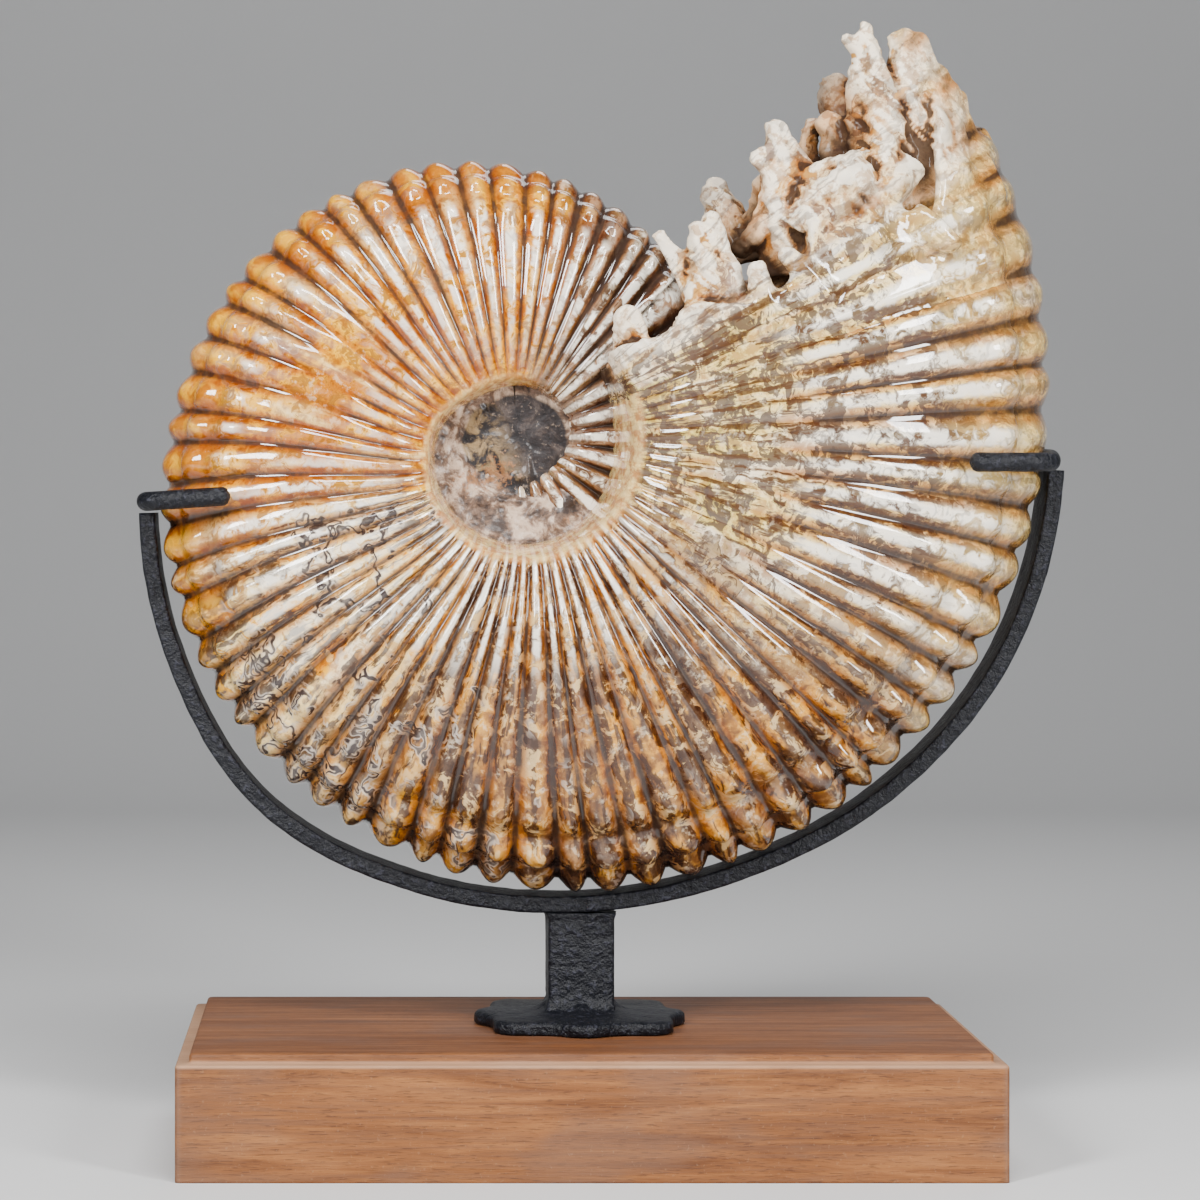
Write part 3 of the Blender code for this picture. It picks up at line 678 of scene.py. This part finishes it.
class Tree:
    """A material's nodes, added one by one."""

    def __init__(self, name):
        self.material = bpy.data.materials.new(name)
        self.material.use_nodes = True
        self.nodes = self.material.node_tree.nodes
        self.links = self.material.node_tree.links
        self.shader = self.nodes["Principled BSDF"]

    def node(self, kind, settings=None, inputs=None, output=0):
        """A node of this type: its settings first, then the values or links of its inputs."""
        made = self.nodes.new(kind)
        for name, setting in (settings or {}).items():
            setattr(made, name, setting)
        for key, value in (inputs or {}).items():
            if isinstance(value, Value):
                self.links.new(value.socket, made.inputs[key])
            else:
                made.inputs[key].default_value = value
        return Value(self, made.outputs[output])

    def ramp(self, value, *stops):
        """A colour from a value, by (place, colour) stops."""
        made = self.node("ShaderNodeValToRGB", None, {0: value})
        elements = made.socket.node.color_ramp.elements
        while len(elements) < len(stops):
            elements.new(0.5)
        for element, (at, colour) in zip(elements, stops):
            element.position, element.color = at, (*colour, 1)
        return made

    def mix(self, share, a, b, blend="MIX"):
        """Colour a, and colour b in this share."""
        a, b = ((*c, 1) if isinstance(c, tuple) else c for c in (a, b))
        return self.node("ShaderNodeMix", {"data_type": "RGBA", "blend_type": blend}, {0: share, 6: a, 7: b}, 2)

    def layers(self, colour, *coats):
        """A colour with coats over it in turn: each the share, the colour and, if any, the blend."""
        for share, *coat in coats:
            colour = self.mix(share, colour, *coat)
        return colour

    def step(self, value, low, high):
        """0 at low and 1 at high, smoothly between; low may be the larger."""
        inputs = {"Value": value, "From Min": low, "From Max": high, "To Min": 0, "To Max": 1}
        return self.node("ShaderNodeMapRange", {"interpolation_type": "SMOOTHSTEP"}, inputs)

    def place(self):
        return self.node("ShaderNodeTexCoord", output="Object")

    def mark(self, name):
        return self.node("ShaderNodeAttribute", {"attribute_name": name}, output="Fac")

    def vector(self, operation, a, b=(0, 0, 0), output=0):
        return self.node("ShaderNodeVectorMath", {"operation": operation}, {0: a, 1: b}, output)

    def joined(self, x, y, z):
        return self.node("ShaderNodeCombineXYZ", None, {0: x, 1: y, 2: z})

    def number(self, vector, axis):
        """One of a vector's three numbers."""
        return self.node("ShaderNodeSeparateXYZ", None, {0: vector}, axis)

    def cloud(self, at, scale, detail=2, roughness=0.5, distortion=0, output=0):
        """Noise of this many cells to the metre."""
        inputs = {"Vector": at, "Scale": scale, "Detail": detail}
        inputs |= {"Roughness": roughness, "Distortion": distortion}
        return self.node("ShaderNodeTexNoise", None, inputs, output)

    def bump(self, height, distance, strength=1):
        inputs = {"Height": height, "Distance": distance, "Strength": strength}
        return self.node("ShaderNodeBump", None, inputs)

    def finish(self, fixed, **varied):
        """Varied inputs of the shader are links, or numbers where they don't vary. Fixed ones are numbers."""
        for name, value in {**fixed, **varied}.items():
            target = self.shader.inputs[name.replace("_", " ")]
            if isinstance(value, Value):
                self.links.new(value.socket, target)
            else:
                target.default_value = value
        return self.material


AMBER = (0.44, 0.14, 0.001)
HONEY = (0.8, 0.38, 0.004)
CREAM = (0.86, 0.62, 0.25)
IVORY = (0.9, 0.75, 0.53)
TAN = (0.27, 0.125, 0.035)
BROWN = (0.06, 0.026, 0.011)
UMBER = (0.024, 0.013, 0.009)
PURPLE_GREY = (0.055, 0.034, 0.03)
OLIVE = (0.54, 0.42, 0.075)
GREY_LINE = (0.045, 0.033, 0.031)
HALO = (0.56, 0.48, 0.4)
RUST = (0.22, 0.078, 0.01)
BURNT = (0.26, 0.075, 0.006)
OCHRE = (0.4, 0.2, 0.05)
ORANGE = (0.6, 0.28, 0.03)
STRAW = (0.62, 0.42, 0.19)
HIGHLIGHT_WHITE = (0.97, 0.9, 0.77)


def contour_field(tree, at, scale, detail, bands):
    """A noise field counted in bands, and the rough distance in metres to the nearest edge between two bands:
    how far the count is from a whole number, over how fast it changes, read a short step away."""
    step = 0.0004
    shifts = ((0, 0, 0), (step, 0, 0), (0, 0, step))
    here, right, up = (tree.cloud(tree.vector("ADD", at, s), scale, detail, 0.68) * bands for s in shifts)
    slope = (((right - here) ** 2 + (up - here) ** 2) ** 0.5) / step
    off = (here + 0.5).maths("FRACT") - 0.5
    return (here + 0.5).maths("FLOOR"), off.maths("ABSOLUTE") / (slope + 1)


def polished_fossil():
    """Calcite in honey, cream and brown cells bounded by frilled grey suture lines, streaked along the ribs,
    with painted highlights on the crests, dirt and painted shade in the grooves, and duller where the end is
    broken."""
    tree = Tree("polished fossil")
    mix, step, cloud, vector = tree.mix, tree.step, tree.cloud, tree.vector
    at = tree.place()
    spiral, groove, broken, rib, ridge = (tree.mark(m) for m in ("spiral", "groove", "broken", "rib", "ridge"))
    band = tree.mark("station").maths("ABSOLUTE")
    radius = vector("LENGTH", vector("SUBTRACT", at, (SHELL_CENTRE[0], 0, SHELL_CENTRE[1])), output=1)
    depth = tree.number(at, 1)
    push = cloud(at, 85, 2, 0.55, output=1)
    warped = vector("MULTIPLY", vector("SUBTRACT", push, (0.5, 0.5, 0.5)), (0.022, 0.022, 0.022))
    warped = vector("ADD", at, warped)
    broad = cloud(at, 17, 2, 0.55)
    patch = cloud(warped, 60, 3, 0.62)
    fine = cloud(at, 210, 3, 0.68)
    wisp = cloud(warped, 120, 4, 0.66)
    streak = cloud(tree.joined(rib, radius * 26, depth * 26), 1, 3, 0.62)
    fine_along = tree.joined(rib * 3.4, radius * 40, depth * 40)
    thread = cloud(vector("ADD", fine_along, vector("MULTIPLY", push, (1.6, 1.6, 1.6))), 1, 3, 0.6)
    cell, edge = contour_field(tree, warped, 17, 4, 5)
    tone = (cell * 0.618).maths("FRACT")

    # Zones by spiral angle, radius and station, with uneven borders
    turn = spiral + (broad - 0.5) * 60
    early = step(turn, 92, 70)
    left = step(turn, 184, 214)
    bottom = step(turn, 232, 262)
    right = step(turn, 312, 340)
    inner, outer = step(radius, 0.125, 0.095), step(radius, 0.16, 0.18)

    # The colours of each zone
    amber = tree.layers(
        AMBER,
        (step(patch, 0.44, 0.6), HONEY),
        (step(streak, 0.5, 0.66) * 0.7, CREAM),
        (step(wisp, 0.53, 0.61) * 0.75, RUST),
        (step(thread, 0.42, 0.35) * 0.6, BURNT),
    )
    pale = tree.layers(
        HONEY,
        (step(tone, 0.25, 0.75), CREAM),
        (step(streak, 0.5, 0.62) * 0.7, IVORY),
        (step(thread, 0.47, 0.55) * 0.9, PURPLE_GREY),
        (step(wisp, 0.54, 0.6) * 0.7, OCHRE),
    )
    tan = tree.layers(
        TAN,
        (step(patch, 0.42, 0.6), ORANGE),
        (step(streak, 0.5, 0.57) * 0.85, PURPLE_GREY),
        (step(thread, 0.49, 0.56) * 0.9, BROWN),
        (step(wisp, 0.55, 0.6) * 0.8, STRAW),
    )
    veined = (1 - 0.5 * outer) * 0.9
    marble = tree.layers(
        (0.82, 0.6, 0.21),
        (step(streak, 0.46, 0.64), IVORY),
        (inner * step(patch, 0.46, 0.54) * 0.65, OLIVE),
        (outer * step(patch, 0.4, 0.55) * 0.7, (0.86, 0.57, 0.17)),
        (step(patch, 0.54, 0.62) * 0.5, (0.66, 0.36, 0.08)),
        (step(wisp, 0.475, 0.53) * veined, (0.07, 0.044, 0.036)),
        (step(thread, 0.5, 0.57) * veined, (0.08, 0.036, 0.016)),
    )
    crown = tree.layers(
        (0.8, 0.6, 0.36),
        (step(wisp, 0.48, 0.56), (0.24, 0.14, 0.085)),
        (step(patch, 0.47, 0.39) * 0.7, (0.36, 0.235, 0.14)),
        (step(patch, 0.55, 0.62) * 0.7, (0.58, 0.27, 0.04)),
        (step(ridge + fine * 0.8, 0.75, 1.15) * 0.85, (0.94, 0.84, 0.68)),
        (step(streak, 0.5, 0.57) * step(turn, 410, 396) * 0.8, (0.94, 0.86, 0.72)),
        (step(thread, 0.53, 0.6) * 0.5, PURPLE_GREY),
        (step(depth, -0.04, 0.005) * 0.75, mix(wisp, (0.2, 0.13, 0.1), BROWN)),
    )

    # Painted highlights on the rib crests, amber bead tips, suture lines, the rim's ring, dirt and painted
    # shade in the grooves and hollows
    off_crest = ((rib + 0.5).maths("FRACT") - 0.5).maths("ABSOLUTE") * 2
    crest = step(off_crest + (fine - 0.5) * 0.6, 0.5, 0.2) * (1 - broken)
    tip = step(band, 0.42, 0.32) * (1 - left) * step(spiral, 80, 110)
    worn = step(turn, 132, 150) * step(turn, 192, 174) * step(band, 0.42, 0.5) * step(band, 0.84, 0.74)
    golden = step(band, 0.6, 0.88) * (1 - left)
    outside = step(band, 0.38, 0.46) * step(band, 0.95, 0.8) * step(spiral, 236, 205)
    outside = outside * (1 - 0.9 * worn) * (1 - 0.5 * golden)
    inside = step(radius, 0.112, 0.094) * step(spiral, 222, 240) * step(spiral, 330, 308)
    far = step(radius, 0.118, 0.132) * step(radius, 0.196, 0.186) * step(spiral, 322, 342)
    core = step(spiral, 66, 50) * step(spiral, -80, -40)
    # Painted highlight: the rib crests in these zones are painted white where the lights would catch them
    painted_highlight_zones = outside + inside + far + core
    zone = step(broad + left * 0.12, 0.52, 0.58) * (0.3 + 0.7 * left) * (1 - 0.8 * broken)
    zone = zone * (1 - 0.75 * step(turn, 262, 300))
    line = step(edge, 0.0012, 0.00045) * (zone * (1 - 0.6 * right) + right * (1 - broken) * 0.3)
    ring = step(band, 0.965, 0.985) * step(spiral, 60, 100)
    # Dirt in the grooves with painted shade: darker still in the grooves of the inner whorl and the early ribs,
    # and in the broken end's creases and recess
    groove_dirt_and_shade = step(groove + fine * 0.6 + streak * 0.4 + step(spiral, 100, 60) * 0.25, 0.92, 1.42)
    colour = tree.layers(
        amber,
        (left, pale),
        (bottom, tan),
        (right, marble),
        (early * 0.85, mix(step(thread, 0.4, 0.55), (0.3, 0.18, 0.11), PURPLE_GREY)),
        (broken * 0.9, crown),
        (step(fine, 0.56, 0.68) * 0.3, IVORY),
        (step(fine * 0.5 + wisp * 0.5, 0.51, 0.42) * 0.75, (0.46, 0.32, 0.22), "MULTIPLY"),
        (tip * 0.7, mix(step(patch, 0.44, 0.62), AMBER, HONEY)),
        # painted highlight: white on the rib crests
        (crest * painted_highlight_zones * step(wisp, 0.6, 0.44) * 0.85, HIGHLIGHT_WHITE),
        (step(edge, 0.0025, 0.0013) * zone * (1 - right) * 0.6, HALO),
        (line * (0.5 + 0.9 * fine), GREY_LINE),
        (ring * 0.7, mix(step(fine, 0.4, 0.6), (0.55, 0.26, 0.09), CREAM)),
        # dirt and painted shade: the grooves and the broken end's hollows multiplied darker
        (step(groove, 0.02, 0.5) * 0.9, (0.7, 0.46, 0.28), "MULTIPLY"),
        (groove_dirt_and_shade * 0.92, UMBER),
    )
    dull = step(broken, 0, 0.45)
    return tree.finish(
        {"IOR": 1.15, "Coat IOR": 1.55, "Coat Roughness": 0.04},
        Base_Color=colour,
        Roughness=0.16 + 0.3 * groove_dirt_and_shade + 0.14 * step(wisp, 0.5, 0.7) + 0.3 * dull,
        Coat_Weight=1 - 0.92 * dull,
        Normal=tree.bump(wisp * 0.5 + fine * 0.15, 0.0009, 0.5),
    )


def rough_stone():
    """Grey-brown stone with dark grains, paler lumps and a few rusty spots, darkest in the middle, with painted
    shade on the middle disc's upper right.
    """
    tree = Tree("rough stone")
    step = tree.step
    at = tree.place()
    middle = tree.vector("SUBTRACT", at, (SHELL_CENTRE[0] - 0.001, 0, SHELL_CENTRE[1] - 0.0028))
    radius = tree.vector("LENGTH", middle, output=1)
    patch = tree.cloud(at, 120, 4, 0.65, 0.5)
    fine = tree.cloud(at, 420, 4, 0.7)
    broad = tree.cloud(at, 45, 2)
    dark = tree.ramp(
        patch, (0.34, (0.006, 0.005, 0.006)), (0.52, (0.021, 0.016, 0.016)), (0.7, (0.085, 0.064, 0.055))
    )
    pale = tree.ramp(
        patch, (0.38, (0.035, 0.022, 0.017)), (0.5, (0.15, 0.092, 0.062)), (0.6, (0.46, 0.34, 0.25))
    )
    # Painted shade: the middle disc is darker on its upper right side
    lean = tree.vector("DOT_PRODUCT", middle, (0.85, 0, 0.35), output=1)
    olive = tree.mix(step(patch, 0.44, 0.6), dark, (0.24, 0.16, 0.075))
    disc = step(radius + (broad - 0.5) * 0.008, 0.0262, 0.0248)
    colour = tree.layers(
        pale,
        (disc, tree.mix(step(lean + patch * 0.02, 0, 0.014), olive, dark)),
        (step(fine, 0.57, 0.68) * 0.35, (0.36, 0.28, 0.22)),
        (step(broad * 0.5 + fine * 0.5, 0.58, 0.64) * 0.6, (0.28, 0.12, 0.04)),
    )
    return tree.finish(
        {"IOR": 1.3, "Coat Weight": 0.2, "Coat Roughness": 0.2},
        Base_Color=colour,
        Roughness=0.3 + 0.3 * fine,
        Normal=tree.bump(patch * 0.7 + fine * 0.5, 0.0016, 0.9),
    )


def black_paint():
    """Black textured paint with a coarse skin, worn to a paler blue-grey in specks."""
    tree = Tree("black textured paint")
    at = tree.place()
    grain = tree.cloud(at, 1100, 2, 0.6)
    lumps = tree.cloud(at, 420, 3, 0.6)
    dents = tree.cloud(at, 130, 2, 0.5)
    specks = tree.step(lumps * 0.7 + grain * 0.3, 0.52, 0.66)
    return tree.finish(
        {"IOR": 1.34},
        Base_Color=tree.mix(specks, (0.0035, 0.004, 0.0065), (0.022, 0.023, 0.033)),
        Roughness=0.3 + 0.3 * lumps,
        Normal=tree.bump(grain * 0.25 + lumps * 0.8 + dents * 0.8, 0.0016),
    )


def stained_wood():
    """Brown stained wood whose grain runs along X: noise drawn out along it, fine dark pores, darker and redder
    on the top, a painted highlight along the ledge and paler wear along the upright edges."""
    tree = Tree("stained wood")
    step = tree.step
    at = tree.place()

    def drawn(stretch, *settings):
        return tree.cloud(tree.vector("MULTIPLY", at, (1, stretch, stretch)), *settings)

    grain = drawn(10, 11, 5, 0.62, 1.2)
    streak = drawn(26, 16, 4, 0.65)
    pores = drawn(12, 170, 2, 0.6)
    blotch = drawn(2.5, 16, 3, 0.6)
    dust = tree.cloud(at, 700, 2, 0.7)
    x, y, z = (tree.number(at, axis) for axis in range(3))
    top = step(z, PLINTH_TOP - 0.0012, PLINTH_TOP - 0.0004)
    # Painted highlight: a paler band along the ledge
    ledge = step(z, LEDGE_HEIGHT - 0.0018, LEDGE_HEIGHT - 0.0004) * step(z, LEDGE_HEIGHT + 0.0012, LEDGE_HEIGHT)
    side = step(x.maths("ABSOLUTE"), PLINTH_WIDTH / 2 - 0.003, PLINTH_WIDTH / 2 - 0.0002)
    front = step(y.maths("ABSOLUTE"), PLINTH_DEPTH / 2 - 0.0008, PLINTH_DEPTH / 2)
    bare = tree.ramp(
        grain, (0.3, (0.1, 0.036, 0.0125)), (0.48, (0.185, 0.07, 0.024)), (0.7, (0.265, 0.108, 0.038))
    )
    colour = tree.layers(
        bare,
        (step(streak, 0.46, 0.64) * 0.55, (0.125, 0.056, 0.03)),
        (step(streak, 0.44, 0.34) * 0.35, (0.31, 0.13, 0.043)),
        (step(pores, 0.56, 0.68) * 0.6, (0.052, 0.024, 0.014)),
        (step(blotch, 0.48, 0.66) * 0.4, (0.135, 0.076, 0.052)),
        (step(dust, 0.62, 0.72) * 0.15, (0.38, 0.24, 0.15)),
        (top * 0.55, (0.72, 0.66, 0.68), "MULTIPLY"),
        # painted highlight along the ledge
        (ledge * (0.25 + 0.8 * blotch), (0.42, 0.25, 0.15)),
        (side * front * 0.5, (0.18, 0.11, 0.078)),
    )
    return tree.finish(
        {"IOR": 1.28},
        Base_Color=colour,
        Roughness=0.4 + 0.25 * streak,
        Normal=tree.bump(streak * 0.5 + pores * 0.4 + grain * 0.4 + dust * 0.15, 0.0006, 0.6),
    )


# Stand


def rounded_box(width, height, radius, corner=5, side=6):
    """Profile of a rectangle with rounded corners, its straight sides cut into equal steps."""
    half_w, half_h = width / 2 - radius, height / 2 - radius
    arcs = []
    for number, (sx, sy) in enumerate(((1, 1), (-1, 1), (-1, -1), (1, -1))):
        turn = np.linspace(0, math.pi / 2, corner) + number * math.pi / 2
        arcs.append(np.column_stack([sx * half_w + radius * np.cos(turn), sy * half_h + radius * np.sin(turn)]))
    t = np.linspace(0, 1, side + 2)[1:-1, None]
    sides = [arc[-1] * (1 - t) + after[0] * t for arc, after in zip(arcs, arcs[1:] + arcs[:1])]
    return np.concatenate([part for pair in zip(arcs, sides) for part in pair])


def hammered(rings, depth, size, seed):
    """Closed rings moved by noise along their normals, the cross products of their slopes."""
    around = np.roll(rings, -1, axis=1) - np.roll(rings, 1, axis=1)
    normals = unit(np.cross(around, np.gradient(rings, axis=0)))
    return rings + normals * (depth * noise(rings, size, seed, 2))[..., None]


def add_cradle(finish):
    """The flat bar: a rounded rectangle carried along the cradle's outline."""
    angles = np.linspace(CRADLE_RADII[0][0], CRADLE_RADII[-1][0], BAR_STEPS)
    radius = through(CRADLE_RADII, angles) - BAR_THICKNESS / 2
    turn = np.radians(angles)
    path = np.column_stack([radius * np.cos(turn), np.zeros(len(turn)), radius * np.sin(turn)])
    path += (CRADLE_CENTRE[0], 0, CRADLE_CENTRE[1])
    along = unit(np.gradient(path, axis=0))
    depth = np.broadcast_to([0.0, 1.0, 0.0], along.shape)
    rings = carried(rounded_box(BAR_THICKNESS, BAR_WIDTH, BAR_CORNER), path, np.cross(along, depth), depth)
    add_tube("cradle_bar_finished", hammered(rings, *BAR_DENTS, 21), "cradle_bar", finish)


def smooth_path(corners, bend, spacing):
    """Straight runs between corners with a parabola in place of each corner, cut into even steps."""
    corners = np.array(corners, float)
    pieces = [corners[:1]]
    t = np.linspace(0, 1, 15)[:, None]
    for before, corner, after in zip(corners, corners[1:], corners[2:]):
        start = corner + bend * unit(before - corner)
        end = corner + bend * unit(after - corner)
        pieces.append((1 - t) ** 2 * start + 2 * t * (1 - t) * corner + t**2 * end)
    points = np.concatenate(pieces + [corners[-1:]])
    run = run_along(points)
    even = np.linspace(0, run[-1], int(run[-1] / spacing) + 1)
    return np.column_stack([np.interp(even, run, points[:, k]) for k in range(3)])


def add_fork(name, corners, node, finish, seed):
    """A round rod carried along its path, with rounded tips."""
    path = smooth_path(corners, ROD_BEND, ROD_STEP)
    along = unit(np.gradient(path, axis=0))
    side = unit(np.cross(along, [0.0, 0.0, 1.0]))
    turn = np.linspace(0, 2 * math.pi, ROD_SIDES, endpoint=False)
    run = run_along(path)
    t = np.clip(np.minimum(run, run[-1] - run) / (0.8 * ROD_RADIUS), 0, 1)
    width = ROD_RADIUS * np.sqrt(np.clip(1 - (1 - t) ** 2, 0.04, 1))
    profile = width[:, None, None] * np.column_stack([np.cos(turn), np.sin(turn)])
    rings = carried(profile, path, side, np.cross(side, along))
    add_tube(name, hammered(rings, *ROD_DENTS, seed), node, finish)


def add_flange(finish):
    """The forged flange: its outline stacked in levels, drawn in a little at the edges and rising to the post.
    The outline's radius is R + L cos(8t) - C cos(4t), a rounded square with lobed sides and corners."""
    turn = np.linspace(0, 2 * math.pi, 192, endpoint=False)
    radius = FLANGE_RADIUS + FLANGE_LOBE * np.cos(8 * turn) - FLANGE_CORNER * np.cos(4 * turn)
    outline = np.column_stack([radius * np.cos(turn), radius * np.sin(turn)])
    rings = stacked([(outline * grow, FLANGE_FOOT + up) for grow, up in FLANGE_LEVELS])
    rings[2:, :, 2] += (0.0003 * noise(rings, 0.009, 31, 2))[2:]
    rings[2:, :, :2] *= (1 + 0.01 * noise(rings, 0.011, 32, 2))[2:, :, None]
    add_tube("base_plate_finished", rings, "base_plate", finish)


def stacked(levels):
    """Rings from (outline, height) levels."""
    return np.array([np.column_stack([outline, np.full(len(outline), height)]) for outline, height in levels])


def add_post(finish):
    """The square post, its profile carried straight up, spreading where it is welded at foot and top."""
    height = POST_TOP - POST_FOOT
    spans = ((0, 0.008, 17), (0.009, height - 0.007, 16), (height - 0.006, height, 12))
    rise = np.concatenate([np.linspace(*span) for span in spans])
    profile = rounded_box(POST_WIDTH, POST_WIDTH, POST_CORNER, 6, 10)
    grow = 1 + 0.1 * ease(0.0045, 0.0, rise) + 0.05 * ease(height - 0.003, height, rise)
    rings = stacked([(profile * g, POST_FOOT + r) for g, r in zip(grow, rise)])
    lumpy = (ease(0.008, 0.002, rise) + ease(height - 0.006, height - 0.002, rise))[:, None]
    bumps = 0.00012 * noise(rings, 0.006, 41, 2) + 0.001 * lumpy * noise(rings, 0.0035, 42)
    rings = rings + unit(rings * (1, 1, 0)) * bumps[..., None]
    add_tube("post_finished", rings, "post", finish)


def add_plinth(finish):
    """The block: a rounded rectangle stacked in levels, with a ledge below the raised top."""
    levels = [(0.0, 0.0), (0.0, 0.0008)]
    turns = np.linspace(0, math.pi / 2, 5)
    quarter = [(EDGE_RADIUS * (1 - math.cos(turn)), EDGE_RADIUS * math.sin(turn)) for turn in turns]
    levels += [(inset, LEDGE_HEIGHT - EDGE_RADIUS + up) for inset, up in quarter]
    levels += [(LEDGE_WIDTH - EDGE_RADIUS / 2, LEDGE_HEIGHT), (LEDGE_WIDTH, LEDGE_HEIGHT + EDGE_RADIUS / 2)]
    levels += [(LEDGE_WIDTH + inset, PLINTH_TOP - EDGE_RADIUS + up) for inset, up in quarter]
    levels += [(inset, PLINTH_TOP) for inset in (0.012, 0.03, 0.06)]
    rings = stacked([
        (rounded_box(PLINTH_WIDTH - 2 * inset, PLINTH_DEPTH - 2 * inset, PLINTH_CORNER, 5, 60), up)
        for inset, up in levels
    ])
    add_tube("plinth_finished", rings, "plinth", finish)


# Set


def add_set():
    """A pale sweep, flat under the object and curved up behind it, a dim sky and four soft boxes."""
    turn = np.linspace(0, math.pi / 2, 25)
    back, rise = SWEEP_START + SWEEP_RADIUS * np.sin(turn), SWEEP_RADIUS - SWEEP_RADIUS * np.cos(turn)
    curve = np.column_stack([back, rise])
    side = np.concatenate([[[SWEEP_FRONT, 0]], curve, [[SWEEP_START + SWEEP_RADIUS, SWEEP_TOP]]])
    points = [(x, y, z) for x in (-SWEEP_SIDE, SWEEP_SIDE) for y, z in side]
    mesh = bpy.data.meshes.new("floor")
    mesh.from_pydata(points, [], grid_faces(2, len(side))[:, ::-1].tolist())
    mesh.polygons.foreach_set("use_smooth", np.full(len(mesh.polygons), True))
    mesh.materials.append(Tree("plain floor").finish({}, Base_Color=FLOOR_GREY, Roughness=0.7))
    floor = show("floor", mesh)
    world = bpy.data.worlds.new("studio")
    world.use_nodes = True
    world.node_tree.nodes["Background"].inputs["Color"].default_value = SKY_COLOUR
    world.node_tree.nodes["Background"].inputs["Strength"].default_value = SKY_STRENGTH
    bpy.context.scene.world = world
    for name, spot, size, power in LIGHTS:
        lamp = bpy.data.lights.new(name, "AREA")
        lamp.shape = "RECTANGLE"
        lamp.size, lamp.size_y = size
        lamp.energy = power
        box = show(name, lamp)
        box.location = spot
        box.rotation_euler = (Vector(LIGHT_TARGET) - Vector(spot)).to_track_quat("-Z", "Y").to_euler()


def add_camera():
    """The level camera, which looks along +Y."""
    camera = bpy.data.cameras.new("camera")
    camera.lens = CAMERA_LENS
    camera.sensor_width = CAMERA_SENSOR
    camera.sensor_fit = "AUTO"
    camera.shift_x, camera.shift_y = CAMERA_SHIFT
    eye = show("camera", camera)
    eye.location = CAMERA_PLACE
    eye.rotation_euler = (math.pi / 2, 0, 0)
    bpy.context.scene.camera = eye


def main():
    """Every piece, then the set."""
    fossil = ("fossil", polished_fossil())
    black = ("black_steel", black_paint())
    add_outer_whorl(fossil)
    add_inner_whorl(fossil)
    add_filling(("fossil", rough_stone()))
    add_crown(fossil)
    add_cradle(black)
    add_fork("left_fork_finished", LEFT_FORK, "left_fork", black, 61)
    add_fork("right_fork_finished", RIGHT_FORK, "right_fork", black, 62)
    add_flange(black)
    add_post(black)
    add_plinth(("wood", stained_wood()))
    add_set()
    add_camera()


main()
